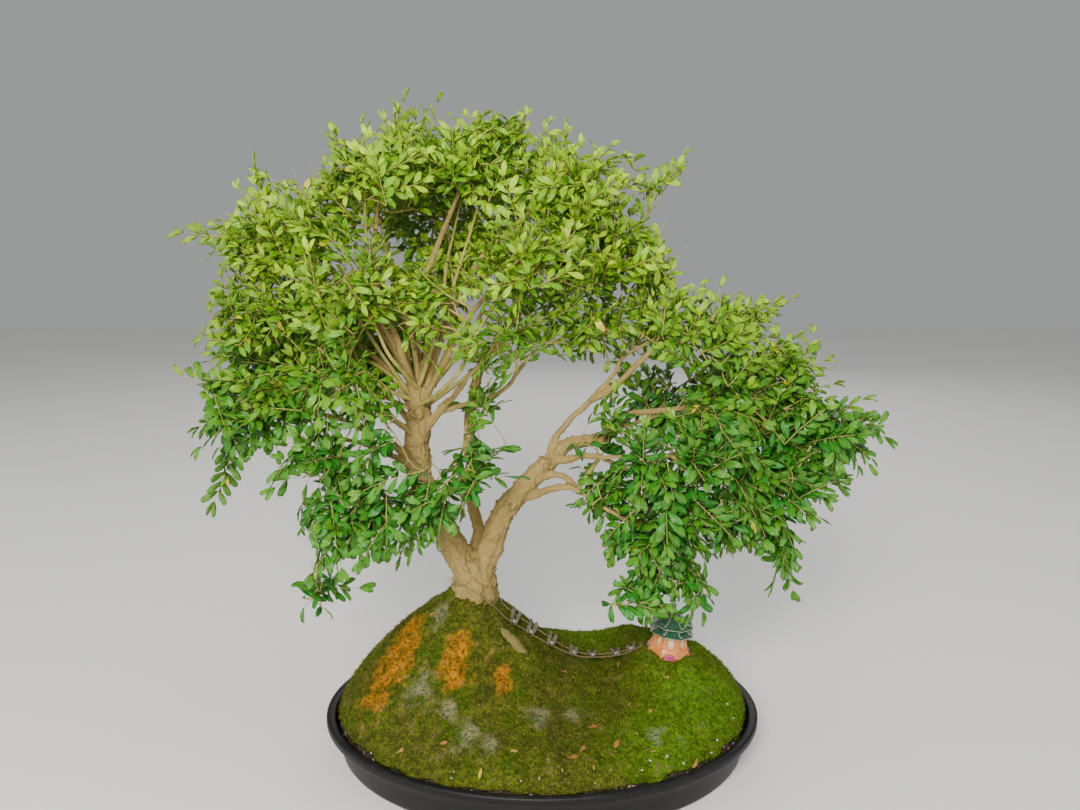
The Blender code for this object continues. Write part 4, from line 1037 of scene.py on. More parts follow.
def ground_shell(name, size, top, low, low_edge, ragged=0.0):
    """A closed shell over the mound between two heights, and how many of its points are on top.

    Its size is its reach, rings and steps. Its underside has a quarter of the steps and ends at low_edge, a
    share of the reach, and ragged says how much its edge wanders.
    """
    reach, rings, steps = size
    points = [(0.0, 0.0, top(0.0, 0.0))]
    for ring in range(1, rings + 1):
        share = 1.0 - (1.0 - ring / rings) ** 1.25
        for step in range(steps):
            angle = 2 * math.pi * step / steps
            wave = noise.noise(Vector((9 * math.cos(angle), 9 * math.sin(angle), 3.0)))
            out = reach * share * (1.0 + ragged * share ** 4 * wave)
            x, y = out * math.cos(angle), out * math.sin(angle) * ACROSS
            points.append((x, y, top(x, y)))
    top_count = len(points)
    low_rings = (0.3, 0.6, 0.85, low_edge)
    low_steps = steps // 4
    points.append((0.0, 0.0, low(0.0, 0.0)))
    for share in low_rings:
        for step in range(low_steps):
            angle = 2 * math.pi * step / low_steps
            x, y = reach * share * math.cos(angle), reach * share * math.sin(angle) * ACROSS
            points.append((x, y, low(x, y)))
    faces = [(0, 1 + step, 1 + (step + 1) % steps) for step in range(steps)]
    for ring in range(rings - 1):
        near, far = 1 + ring * steps, 1 + (ring + 1) * steps
        faces += [(near + step, far + step, far + (step + 1) % steps, near + (step + 1) % steps)
                  for step in range(steps)]
    first = top_count + 1
    faces += [(top_count, first + (step + 1) % low_steps, first + step) for step in range(low_steps)]
    for ring in range(len(low_rings) - 1):
        near, far = first + ring * low_steps, first + (ring + 1) * low_steps
        faces += [(near + step, near + (step + 1) % low_steps, far + (step + 1) % low_steps, far + step)
                  for step in range(low_steps)]
    rim_top = 1 + (rings - 1) * steps
    rim_low = first + (len(low_rings) - 1) * low_steps
    for step in range(low_steps):
        upper = [rim_top + (step * 4 + part) % steps for part in range(5)]
        faces.append((*reversed(upper), rim_low + step, rim_low + (step + 1) % low_steps))
    shell = mesh_of(name, points, faces)
    faced_outwards(shell.data)
    shell.data.shade_smooth()
    return shell, top_count


def make_moss():
    """The moss carpet as one closed shell, and the tufts that stand out of it."""
    ground = bpy.context.scene.bonsai_ground
    size = (MOSS_REACH, ground.moss_rings, ground.moss_steps)
    carpet, top_count = ground_shell(
        "moss_carpet", size, moss_top, lambda x, y: ground_height(x, y) - MOSS_THICKNESS, 0.985, 0.012)
    dress_moss(carpet.data)
    material = finish_of("moss cushions", moss_finish)
    make_tufts(carpet, top_count, material)
    return piece(carpet, "moss", material, "moss")


def soil_top(x, y):
    """The crumbly top of the soil, which only shows between the moss and the rim."""
    crumbs = lumps_at(Vector((x, y, 2.0)), SOIL_CRUMBS)
    return ground_height(x, y) - SOIL_DEPTH + SOIL_RIM * rim_share(x, y) ** RIM_STEEPNESS + crumbs


def make_soil():
    """The soil under the moss, out to the wall of the pot."""
    soil, _ = ground_shell("soil_body", (MOSS_REACH + 0.6, 40, 240), soil_top, lambda x, y: SOIL_FLOOR, 0.93)
    return piece(soil, "soil", finish_of("damp soil", soil_finish), "soil")


def dress_moss(mesh):
    """Store on each point how dead, fresh or grown with lichen the moss is."""
    places = [(vert.co.x / MM, vert.co.y / MM) for vert in mesh.vertices]
    for name, patches in (("dead", DEAD_PATCHES), ("fresh", FRESH_PATCHES), ("lichen", LICHEN_PATCHES)):
        set_attribute(mesh, name, "FLOAT", [patch_share(patches, x, y) for x, y in places])


def make_tufts(carpet, top_count, material):
    """Small pointed tufts over the carpet's top, which make its edge and its skin soft."""
    ground = bpy.context.scene.bonsai_ground
    if not ground.tufts:
        return None
    top = bpy.data.meshes.new("tufts_ground")
    bm = bmesh.new()
    bm.from_mesh(carpet.data)
    bm.verts.ensure_lookup_table()
    bmesh.ops.delete(bm, geom=bm.verts[top_count:], context="VERTS")
    bm.to_mesh(top)
    bm.free()
    shapes = []
    for kind, size in enumerate(TUFT_SIZES):
        rng = random.Random(40 + kind)
        bm = bmesh.new()
        height = ground.tuft_height / MM * size
        tip = bm.verts.new((rng.uniform(-TUFT_LEAN, TUFT_LEAN), rng.uniform(-TUFT_LEAN, TUFT_LEAN), height))
        base = [bm.verts.new((TUFT_FOOT * math.cos(angle), TUFT_FOOT * math.sin(angle), -TUFT_SINK))
                for angle in (0.0, 2.1, 4.2)]
        for first, second in zip(base, base[1:] + base[:1]):
            bm.faces.new((first, second, tip))
        bm.faces.new(reversed(base))
        shapes.append(object_of(bm, f"tuft_{kind}"))
    held = Shapes("tuft shapes", shapes)
    tree = shared("Tufted Surface", tufted_tree)
    tufts = grown(linked("moss_tufts", top), tree, Shapes=held.collection, Density=ground.tufts * 1e4,
                  Least=0.5, Most=1.25, Seed=11, Material=material)
    held.remove()
    for name in ("dead", "fresh", "lichen", "tint"):
        if name in tufts.data.attributes:
            tufts.data.attributes.remove(tufts.data.attributes[name])
    dress_moss(tufts.data)
    heights = [0.5 + 0.5 * (vert.index % 4 == 0) for vert in tufts.data.vertices]
    set_attribute(tufts.data, "tint", "FLOAT", heights)
    return piece(tufts, "moss", material)


# Wood

# How much slimmer the sprays' limbs are than the plain ones of the frame, and the radius under which they are
SLIM_LIMBS = 0.7
SLIM_UNDER = 7


# The seed of the noise that bends the wood, which otherwise differs from run to run
SWAY_SEED = 7


def wandering(route, rng, amount=1.0):
    """A route's points in fine steps, wandering a little from the smooth curve and swelling at its nodes."""
    noise.seed_set(SWAY_SEED)
    count = 6 * (len(route) - 1) + 1
    shift = rng.uniform(0.0, 100.0)
    made = []
    for index, point in enumerate(smooth_route(route, count)):
        at = Vector((index * 0.31, shift, 0.0))
        inner = math.sin(math.pi * index / (count - 1)) ** 0.5
        sway = noise.noise_vector(at) * amount * min(3.0, point[3] * 0.45) * inner
        swell = 1.0 + 0.13 * noise.noise(Vector((index * 0.6, shift, 9.0)))
        made.append((point[0] + sway.x, point[1] + sway.y, point[2] + sway.z, max(0.4, point[3] * swell)))
    return made


def wood_routes():
    """Every thick piece of wood as a fine route, each spray's limb up to its middle."""
    rng = random.Random(21)
    routes = [wandering(TRUNK, rng, 0.4)]
    for name, route in LIMBS.items():
        whole = list(route)
        if name in SPRAYS:
            slim = SLIM_LIMBS if route[0][3] < SLIM_UNDER else 1.0
            whole = [(*point[:3], point[3] * slim) for point in whole] + [(*SPRAYS[name][0], LIMB_END_RADIUS)]
        routes.append(wandering(whole, rng, 0.5 if route[0][3] > 10 else 1.9))
    routes += [wandering(route, rng) for route in TWIN_LIMBS]
    routes += [wandering(route, rng) for route in ROOTS]
    surface = [(x, y, ground_height(x, y) + over, radius) for x, y, over, radius in SURFACE_ROOT]
    routes.append(wandering(surface, rng, 0.6))
    return routes


# Stubs of old pruning cuts: where each starts, where it ends, and its radius
STUBS = [
    ((-110, -6, 329), (-116, -19, 335), 4.6), ((-97, -4, 226), (-91, -17, 229), 4.4),
    ((-33, -2, 240), (-30, -15, 246), 4.0), ((-76, 2, 186), (-92, -6, 190), 4.2),
    ((-113, -8, 276), (-124, -16, 280), 4.0), ((4, -4, 282), (8, -15, 285), 3.8),
]


def frames_along(route):
    """At each point of a route: its middle, radius, two directions across it, and the way along it so far."""
    middles = [Vector(point[:3]) for point in route]
    across = None
    reach = 0.0
    made = []
    for index, middle in enumerate(middles):
        ahead = (middles[min(index + 1, len(middles) - 1)] - middles[max(index - 1, 0)]).normalized()
        if across is None:
            across = ahead.orthogonal().normalized()
        across = (across - ahead * across.dot(ahead)).normalized()
        if index:
            reach += (middle - middles[index - 1]).length
        made.append((middle, route[index][3], across.copy(), ahead.cross(across), ahead, reach))
    return made


def make_wood():
    """Trunk, limbs and roots fused from tubes, then carved with flutes, fissures, knots and old cuts."""
    tree_set = bpy.context.scene.bonsai_tree
    routes = wood_routes()
    material = finish_of("boxwood bark", bark_finish)
    stubs = [[(*start, radius * 1.5), (*Vector(start).lerp(Vector(end), 0.6), radius * 1.1), (*end, radius)]
             for start, end, radius in STUBS]
    wood = tubes_along("wood", routes + stubs, 12, material)
    fused = wood.modifiers.new("fuse", "REMESH")
    fused.mode = "VOXEL"
    fused.voxel_size = tree_set.wood_voxel * 1.0
    fused.use_smooth_shade = True
    wood = applied(wood)
    ease = wood.modifiers.new("ease", "SMOOTH")
    ease.factor = 0.5
    ease.iterations = 4
    wood = applied(wood)
    carve_bark(wood.data, routes)
    wood.data.shade_smooth()
    return piece(wood, "bark", material, "trunk")


def carve_bark(mesh, routes):
    """Move the wood's skin in and out along its grain, and store the grain and the scars on its points."""
    samples = []
    for index, route in enumerate(routes):
        fine = [tuple(a + (b - a) * part / 3 for a, b in zip(first, second))
                for first, second in zip(route, route[1:]) for part in range(3)]
        samples += [(*frame_at, index) for frame_at in frames_along(fine)]
    finder = kdtree.KDTree(len(samples))
    for index, sample in enumerate(samples):
        finder.insert(sample[0], index)
    finder.balance()
    cuts = [(Vector(end), radius) for _, end, radius in STUBS]
    grains = np.zeros((len(mesh.vertices), 3), np.float32)
    scars = np.zeros(len(mesh.vertices), np.float32)
    moved = np.zeros((len(mesh.vertices), 3), np.float32)
    for vert in mesh.vertices:
        point = vert.co / MM
        near = min(finder.find_n(point, 4), key=lambda found: found[2] - samples[found[1]][1])
        middle, radius, across, beside, ahead, reach, owner = samples[near[1]]
        away = point - middle
        u, v = away.dot(across), away.dot(beside)
        along = reach + away.dot(ahead) + owner * 173.0
        grains[vert.index] = (u * MM, v * MM, along * MM)
        deep = min(1.7, 0.11 * radius)
        ridge = 1.0 - abs(noise.noise(Vector((u / 4.2, v / 4.2, along / 21.0)))) * 3.2
        bark = ridge * 0.55 + 0.6 * noise.noise(Vector((u / 2.1, v / 2.1, along / 8.0)))
        knotty = noise.noise(Vector((u / 11.0, v / 11.0, along / 26.0)))
        warts = max(0.0, noise.noise(point / 3.1) - 0.06)
        push = deep * bark + 0.12 * radius * knotty + min(3.0, 0.34 * radius) * warts
        if radius > 9.0:
            turn = math.atan2(v, u)
            flute = max(0.0, math.cos(3 * turn + along / 45.0)) ** 6
            push += 0.055 * radius * math.cos(2 * turn + along / 70.0) - 0.05 * radius * flute
        for cut, size in cuts:
            gone = (point - cut).length / size
            if gone < 1.6:
                hollow = max(0.0, 1.0 - gone / 0.85)
                scars[vert.index] = max(scars[vert.index], min(1.0, hollow * 1.2))
                push += 0.5 * math.exp(-((gone - 1.1) / 0.3) ** 2) - 1.2 * hollow
        moved[vert.index] = vert.co + vert.normal * (push * MM)
    mesh.vertices.foreach_set("co", moved.ravel())
    mesh.update()
    set_attribute(mesh, "grain", "FLOAT_VECTOR", grains)
    set_attribute(mesh, "scar", "FLOAT", scars)


# Foliage: how many shoots a spray gets, as the square millimetres of its half sizes, two by two, for each.
# Then how near two sprays are that shoots fill between, and how many shoots fill there
AREA_OF_SHOOT = 176.0
CLOSE_SPRAYS = 128.0
FILL_SHOOTS = 12
TREE_MIDDLE = Vector((-40.0, 20.0, 330.0))
# Hollows that more shoots fill: the spray that they grow from, middle, half sizes and number of shoots
HOLLOWS = [
    ("crown_back", (-125, 62, 432), (64, 26, 44), 46),
    ("crown_back", (-60, 60, 470), (50, 26, 30), 22),
    ("left_back", (-170, 60, 372), (56, 24, 44), 34),
    ("crown_front", (-104, -42, 436), (44, 14, 50), 18),
    ("left_mid_inner", (-200, -20, 390), (40, 26, 34), 18),
    ("right_low", (62, -22, 262), (20, 24, 26), 18),
    ("right_front", (54, -18, 320), (22, 20, 26), 14),
    ("centre_low", (-54, -18, 322), (14, 18, 34), 13),
    ("right_low", (132, -50, 186), (14, 12, 18), 10),
    ("lower_left", (-205, -50, 186), (20, 14, 12), 8),
    ("crown_mid_top", (-56, 0, 580), (32, 20, 8), 12),
    ("crown_right_top", (96, -10, 536), (14, 16, 12), 9),
    ("right_upper", (222, -10, 382), (18, 12, 8), 10),
    ("right_low", (92, -50, 172), (12, 10, 12), 7),
    ("right_low_far", (223, -16, 206), (7, 8, 14), 5),
]
# Thin stems that fan out of the fork: where they start, how many reach each of these sprays, and their radii
FORK = Vector((-113.0, -2.0, 338.0))
STEMS_A_SPRAY = 2
FORK_SPRAYS = ("crown_left_top", "crown_mid_top", "crown_right_top", "crown_back", "crown_front",
               "left_upper", "left_inner", "left_low")
STEM_RADII = (2.5, 0.8)
# Where the photograph, in its pixels, shows no leaves: middle across, middle down, half width and half height
WINDOWS = [
    (556, 390, 44, 33), (452, 424, 12, 20), (296, 146, 30, 30), (708, 228, 36, 48), (296, 488, 28, 10),
    (292, 556, 24, 20), (742, 574, 34, 16), (582, 566, 20, 40), (248, 612, 42, 24), (184, 302, 22, 42),
    (176, 402, 24, 32), (202, 204, 24, 18), (672, 208, 18, 22), (566, 94, 30, 18), (542, 452, 20, 30),
    (583, 428, 18, 14), (682, 374, 9, 8), (498, 502, 18, 20), (904, 424, 16, 20), (496, 424, 12, 20),
    (478, 96, 44, 8),
]
# Where it shows none in front of a depth in millimetres, and this depth
FRONT_WINDOWS = [(420, 432, 21, 34), (478, 556, 28, 38)]
FRONT_DEPTH = -8.0
PHOTO_SIZE = (1080.0, 810.0)
# A shoot grows only where more than this share of its leaves may
KEPT_LEAVES = 0.55
SENSOR = 36.0

# How wide a leaf is at each share of its length
LEAF_STATIONS = ((0.0, 0.0), (0.23, 0.54), (0.62, 1.0), (0.91, 0.72), (1.0, 0.0))
LEAF_THICKNESS = 0.34
# Below the first height all leaves are broad, and over the second all are slim
LOW_LEAVES = (310.0, 400.0)
# How shoots grow by the height of their spray's middle: under each height, how far they droop, how much they
# bend up, and the last row for all that are higher
DROOPING = ((300, -0.32), (380, -0.05), (math.inf, 0.22))
BENDING = ((300, -0.42), (400, -0.16), (math.inf, 0.10))
# How near its target a twig ends, how far it grows at a time, and how straight it keeps
TWIG_REACH = 13.0
TWIG_STEP = 9.0
TWIG_STRAIGHT = 0.9
# Radii in millimetres: a twig that carries one shoot, the thickest twig, a shoot's foot, and what it loses
# up to its tip
THIN_TWIG = 0.50
THICK_TWIG = 2.3
SHOOT_FOOT = 0.52
SHOOT_TAPER = 0.26
# What stays free of leaves: the moss, and a column round the pavilion, and how far past the solids tips reach
OVER_MOSS = 6.0
PAVILION_CLEAR = (27.0, 50.0)
PAST_SOLIDS = 4.0
# How much each kind of leaf arches, folds up at its sides and twists, and its share of the length and width
LEAF_KINDS = ((0.14, 0.30, 0.10, 1.0, 1.06), (0.34, 0.40, -0.3, 0.88, 0.94), (0.34, 0.5, 0.22, 0.90, 0.84),
              (-0.06, 0.42, -0.12, 0.72, 0.74))


def leaf_blade(name, length, width, arch, fold, twist):
    """A closed leaf along +X with its face up, widest past its middle and folded at its rib."""
    bm = bmesh.new()
    over = bm.loops.layers.uv.new("UVMap")
    stations = [along for along, _ in LEAF_STATIONS]
    rings = []
    for along, share in LEAF_STATIONS[1:-1]:
        half = share * width / 2
        middle = Vector((along * length, 0.0, -arch * along * along * length))
        side = Vector((0.0, math.cos(twist * along), math.sin(twist * along)))
        lift = UP * fold * half
        thick = UP * LEAF_THICKNESS / 2
        rings.append([bm.verts.new(point) for point in (
            middle + side * half + lift, middle + thick, middle - side * half + lift, middle - thick)])
    foot = bm.verts.new((0.0, 0.0, 0.0))
    tip = bm.verts.new((length, 0.0, -arch * length))
    across = (0.0, 0.5, 1.0, 0.5)

    def wall(corners, places, under):
        face = bm.faces.new(corners)
        for loop, (u, v) in zip(face.loops, places):
            loop[over].uv = (u, v + (1.02 if under else 0.0))

    for corner in range(4):
        after = (corner + 1) % 4
        one, other, under = across[corner], across[after], corner > 1
        first, last = stations[1], stations[-2]
        wall((foot, rings[0][after], rings[0][corner]), ((0.5, 0.0), (other, first), (one, first)), under)
        for near, far, low, high in zip(rings, rings[1:], stations[1:], stations[2:]):
            wall((near[corner], near[after], far[after], far[corner]),
                 ((one, low), (other, low), (other, high), (one, high)), under)
        wall((rings[-1][corner], rings[-1][after], tip), ((one, last), (other, last), (0.5, 1.0)), under)
    for ring in zip(rings, rings[1:]):
        for corner in (0, 2):
            bm.edges.get((ring[0][corner], ring[1][corner])).smooth = False
    made = object_of(bm, name)
    made.data.polygons.foreach_set("use_smooth", [True] * len(made.data.polygons))
    return made


def leaf_shapes(name, scale=1.0, arch=0.0):
    """The kinds of leaf in a hidden collection."""
    tree_set = bpy.context.scene.bonsai_tree
    length, width = tree_set.leaf_length / MM * scale, tree_set.leaf_width / MM * scale
    return Shapes(name, [leaf_blade(f"{name}_{kind}", length * long, width * wide, bend + arch, fold, twist)
                         for kind, (bend, fold, twist, long, wide) in enumerate(LEAF_KINDS)])


def even_ways(count, rng):
    """Directions spread evenly over a ball, a little shaken."""
    start = rng.uniform(0.0, 2 * math.pi)
    made = []
    for index in range(count):
        high = 1.0 - (2 * index + 1) / count
        angle = start + index * math.pi * (3.0 - math.sqrt(5.0))
        flat = math.sqrt(1.0 - high * high)
        way = Vector((flat * math.cos(angle), flat * math.sin(angle), high))
        made.append((way + random_way(rng) * 0.22).normalized())
    return made


def random_way(rng):
    return Vector([rng.gauss(0.0, 1.0) for _ in range(3)]).normalized()


def inside(half, way):
    """A way from a ball's middle, stretched to a spray's or hollow's half sizes."""
    return Vector(a * b for a, b in zip(way, half))


def by_height(rows, height):
    return next(value for under, value in rows if height < under)


def grow_twigs(starts, targets):
    """Twigs that grow from points on a limb towards targets until each target is met: points and parents."""
    points = [Vector(start) for start in starts]
    parents = [None] * len(points)
    waiting = {index: Vector(target) for index, target in enumerate(targets)}
    met = {}
    for _ in range(60):
        if not waiting:
            break
        spots = np.array([tuple(point) for point in points])
        pulls = {}
        for index, target in list(waiting.items()):
            away = np.linalg.norm(spots - np.array(tuple(target)), axis=1)
            near = int(away.argmin())
            if away[near] < TWIG_REACH:
                points.append(target)
                parents.append(near)
                met[index] = len(points) - 1
                del waiting[index]
                continue
            pulls.setdefault(near, []).append((target - points[near]).normalized())
        for near, ways in pulls.items():
            ahead = sum(ways, Vector())
            if parents[near] is not None:
                ahead += (points[near] - points[parents[near]]).normalized() * TWIG_STRAIGHT
            points.append(points[near] + ahead.normalized() * TWIG_STEP)
            parents.append(near)
    return points, parents, met


def shoots_of(name, rng):
    """Where a spray's leafy shoots start, the way they grow and how long they are, in millimetres."""
    middle, half = (Vector(value) for value in SPRAYS[name])
    tree_set = bpy.context.scene.bonsai_tree
    limb = (Vector(LIMBS[name][-1][:3]) - middle).normalized()
    area = half.x * half.y + half.y * half.z + half.x * half.z
    count = round(area / AREA_OF_SHOOT * tree_set.shoot_share)
    drooping = by_height(DROOPING, middle.z)
    made = []
    for way in even_ways(count, rng):
        if way.angle(limb) < 0.45:
            continue
        share = rng.uniform(0.94, 1.16) if rng.random() < 0.66 else rng.uniform(0.62, 0.9)
        surface = middle + inside(half, way) * share
        ahead = (way * 0.75 + random_way(rng) * 0.42 + UP * drooping).normalized()
        extent = (surface - middle).length
        length = min(rng.uniform(40.0, 66.0), max(26.0, extent * 0.82))
        made.append((surface - ahead * length, ahead, length))
    for owner, tip in TIPS:
        if owner == name:
            way = (Vector(tip) - middle).normalized()
            for spread_out in range(3):
                ahead = (way + random_way(rng) * 0.13 * spread_out + UP * drooping * 0.3).normalized()
                length = rng.uniform(60.0, 74.0) * (1.0 - 0.2 * spread_out)
                made.append((Vector(tip) - way * 14.0 * spread_out - ahead * length, ahead, length))
    for owner, hollow, size, number in HOLLOWS:
        for _ in range(number if owner == name else 0):
            spot = Vector(hollow) + inside(size, random_way(rng)) * rng.uniform(0.2, 1.0)
            ahead = (random_way(rng) + UP * 0.2 + Vector((0.0, -0.3, 0.0))).normalized()
            length = rng.uniform(34.0, 54.0)
            made.append((spot - ahead * length * 0.5, ahead, length))
    return made + bridging_shoots(name, middle, drooping, rng)


def bridging_shoots(name, middle, drooping, rng):
    """Shoots that fill the hollow between a spray and each later spray that stands close to it."""
    made = []
    names = list(SPRAYS)
    for other in names[names.index(name) + 1:]:
        far = Vector(SPRAYS[other][0])
        apart = (far - middle).length
        if apart > CLOSE_SPRAYS:
            continue
        between = middle.lerp(far, 0.5)
        out = (between - TREE_MIDDLE).normalized()
        for _ in range(round(FILL_SHOOTS * bpy.context.scene.bonsai_tree.shoot_share)):
            spot = between + random_way(rng) * rng.uniform(4.0, 34.0) + out * 12.0
            ahead = (out * 0.7 + random_way(rng) * 0.6 + UP * drooping).normalized()
            length = rng.uniform(36.0, 58.0)
            made.append((spot - ahead * length * 0.4, ahead, length))
    return made


def shoot_route(start, ahead, length, rng, bend):
    """A shoot's points, sagging or lifting evenly along it."""
    side = random_way(rng) * 0.10
    route = [Vector(start)]
    parts = max(4, round(length / 9.0))
    for part in range(parts):
        share = (part + 1) / parts
        ahead = (ahead + UP * bend / parts + side / parts + random_way(rng) * 0.035).normalized()
        route.append(route[-1] + ahead * length / parts)
        if share > 0.7:
            side *= 0.9
    return route


def twig_radii(parents, met):
    """A radius for each twig point, by how many shoots it carries."""
    loads = [0.0] * len(parents)
    for index in met.values():
        loads[index] += 1.0
    for index in range(len(parents) - 1, -1, -1):
        loads[index] = max(1.0, loads[index])
        if parents[index] is not None:
            loads[parents[index]] += loads[index]
    return [min(THICK_TWIG, THIN_TWIG * load ** 0.44) for load in loads]


def twig_lines(parents):
    """The twigs as runs of points: each starts at a fork and follows its first branch to the end."""
    children = [[] for _ in parents]
    for index, parent in enumerate(parents):
        if parent is not None:
            children[parent].append(index)
    lines = []
    for fork, kids in enumerate(children):
        for kid in kids if parents[fork] is None else kids[1:]:
            line = [fork, kid]
            while children[line[-1]]:
                line.append(children[line[-1]][0])
            lines.append(line)
    return lines


def make_spray(name, seed):
    """One spray: its twigs as routes, and a place for each leaf."""
    rng = random.Random(seed)
    middle = Vector(SPRAYS[name][0])
    route = list(LIMBS[name]) + [(*middle, LIMB_END_RADIUS)]
    limb = [Vector(point[:3]) for point in smooth_route(route, 16)][9:]
    shoots = [shoot for shoot in shoots_of(name, rng)
              if not any(in_window(shoot[0] + shoot[1] * shoot[2] * share) for share in (0.0, 0.7))]
    points, parents, met = grow_twigs(limb, [shoot[0] for shoot in shoots])
    radii = twig_radii(parents, met)
    twigs = []
    for line in twig_lines(parents):
        root = min(radii[line[0]], radii[line[1]] * 1.15)
        twigs.append([(*points[line[0]], root)] + [(*points[at], radii[at]) for at in line[1:]])
    places = []
    bend = by_height(BENDING, middle.z)
    gap = bpy.context.scene.bonsai_tree.pair_gap / MM
    for order, (start, ahead, length) in enumerate(shoots):
        if order not in met:
            continue
        line = shoot_route(start, ahead, length, rng, bend + rng.uniform(-0.2, 0.2))
        last = len(line) - 1
        face = (UP * 0.8 + (start - middle).normalized() * 0.5 + Vector((0.0, -0.3, 0.0))
                + random_way(rng) * 0.65).normalized()
        leaves = leaves_on(line, length, gap, face, rng)
        kept = [place for place in leaves if is_clear(place)]
        if len(kept) > KEPT_LEAVES * len(leaves):
            twigs.append([(*point, SHOOT_FOOT - SHOOT_TAPER * part / last)
                          for part, point in enumerate(line)])
            places += kept
    thin = THIN_TWIG * 1.35
    for index, parent in enumerate(parents):
        if parent is not None and radii[index] < thin and rng.random() < 0.75:
            face = (UP + random_way(rng) * 0.5).normalized()
            ahead = (points[index] - points[parent]).normalized()
            places += leaf_pair(points[index], ahead, face, rng, 0.9, 0.1)
    return twigs, [place for place in places if is_clear(place)]


def leaves_on(line, length, gap, face, rng):
    """Opposite pairs of leaves along a shoot, smaller towards its tip, with two or three at the end."""
    made = []
    part = length / (len(line) - 1)
    pairs = int((length - 4.0) / gap)
    for pair in range(pairs):
        reach = 5.0 + pair * gap
        at = min(int(reach / part), len(line) - 2)
        spot = line[at].lerp(line[at + 1], reach / part - at)
        ahead = (line[at + 1] - line[at]).normalized()
        age = (pair + 1) / (pairs + 1)
        size = (0.9 + 0.14 * math.sin(math.pi * age)) * (1.0 - 0.18 * age)
        made += leaf_pair(spot, ahead, face, rng, size, age, 0.45 if pair % 2 else 0.0)
    ahead = (line[-1] - line[-2]).normalized()
    for lean in (-0.24, 0.24):
        side = ahead.cross(face).normalized()
        way = (ahead + side * lean + random_way(rng) * 0.1).normalized()
        size = rng.uniform(0.55, 0.8)
        made.append((line[-1], turned_to(way, face), size, kind_at(line[-1], rng), rng.random(), 1.0))
    return made


def kind_at(spot, rng):
    """A kind of leaf: the two broad ones low on the tree, the two slim ones in the crown."""
    slim = (spot.z - LOW_LEAVES[0]) / (LOW_LEAVES[1] - LOW_LEAVES[0])
    return rng.choice((2, 3) if rng.random() < slim else (0, 1))


def leaf_pair(spot, ahead, face, rng, size, age, roll=0.0):
    """Two leaves that face each other across a shoot."""
    made = []
    turn = Matrix.Rotation(roll * rng.choice((-1.0, 1.0)) + rng.uniform(-0.25, 0.25), 3, ahead)
    normal = turn @ face
    side = ahead.cross(normal).normalized()
    normal = side.cross(ahead).normalized()
    for hand in (-1.0, 1.0):
        if rng.random() < 0.05:
            continue
        angle = rng.uniform(0.66, 1.08) - 0.25 * age
        way = ahead * math.cos(angle) + side * hand * math.sin(angle)
        lean = (normal + side * hand * rng.uniform(-0.35, 0.15) + random_way(rng) * 0.22).normalized()
        grown = size * rng.uniform(0.82, 1.1)
        made.append((spot, turned_to(way, lean), grown, kind_at(spot, rng), rng.random(), age))
    return made


def seen_at(point):
    """Where the photograph shows a point, in its pixels."""
    stage = bpy.context.scene.bonsai_stage
    away = point * MM - Vector((stage.camera_aside, -stage.camera_distance, stage.camera_height))
    sine, cosine = math.sin(stage.camera_pitch), math.cos(stage.camera_pitch)
    depth = away.y * cosine - away.z * sine
    pixels = stage.camera_lens / SENSOR * PHOTO_SIZE[0] / depth
    return PHOTO_SIZE[0] / 2 + pixels * away.x, PHOTO_SIZE[1] / 2 - pixels * (away.y * sine + away.z * cosine)


def in_window(point):
    """Whether the photograph shows no leaves where it shows this point."""
    across, down = seen_at(point)
    shown = WINDOWS + (FRONT_WINDOWS if point.y < FRONT_DEPTH else [])
    return any(math.hypot((across - x) / wide, (down - y) / tall) < 1.0 for x, y, wide, tall in shown)


def is_clear(place):
    """Whether a leaf stays out of the windows, inside the object's size, and off the moss and pavilion."""
    reach = bpy.context.scene.bonsai_tree.leaf_length / MM * place[2]
    tip = place[0] + place[1] @ Vector((reach, 0.0, 0.0))
    if in_window(tip):
        return False
    low, high = CAD_BOX
    for axis in range(3):
        if not low[axis] / MM - PAST_SOLIDS < tip[axis] < high[axis] / MM + PAST_SOLIDS:
            return False
    if math.hypot(tip.x, tip.y / ACROSS) < MOSS_REACH and tip.z < ground_height(tip.x, tip.y) + OVER_MOSS:
        return False
    reach, height = PAVILION_CLEAR
    return not (from_pavilion(tip.x, tip.y) < reach and tip.z < PAVILION_PLACE[2] + height)


def fan_of_stems():
    """Thin stems from the fork up into the crown's sprays."""
    rng = random.Random(31)
    stems = []
    for name in FORK_SPRAYS:
        middle, half = (Vector(value) for value in SPRAYS[name])
        for _ in range(STEMS_A_SPRAY):
            start = FORK + Vector((rng.uniform(-7.0, 7.0), rng.uniform(-6.0, 6.0), rng.uniform(-14.0, 22.0)))
            end = middle + inside(half, random_way(rng)) * 0.4
            bow = (end - start).cross(random_way(rng)).normalized() * rng.uniform(12.0, 34.0)
            kink = random_way(rng) * rng.uniform(3.0, 11.0)
            route = [start, start.lerp(end, 0.35) + bow, start.lerp(end, 0.7) + bow * 0.6 + kink, end]
            thick, thin = STEM_RADII
            shares = [thick + (thin - thick) * step / 3 for step in range(4)]
            stems.append(wandering([(*point, radius) for point, radius in zip(route, shares)], rng, 2.6))
    return stems


def make_foliage():
    """Leaves of every spray as one piece each, and all the twigs."""
    names = list(SPRAYS)
    material = finish_of("boxwood leaf", leaf_finish)
    held = leaf_shapes("leaf")
    twigs = fan_of_stems()
    for index, name in enumerate(names):
        routes, places = make_spray(name, 300 + index)
        twigs += routes
        leaves = scattered(f"leaves_{name}", places, held, material)
        piece(leaves, "leaf", material, f"spray_{name}")
    held.remove()
    material = finish_of("twig", twig_finish)
    piece(tubes_along("twigs", twigs, 5, material), "bark", material)


# Rope bridge

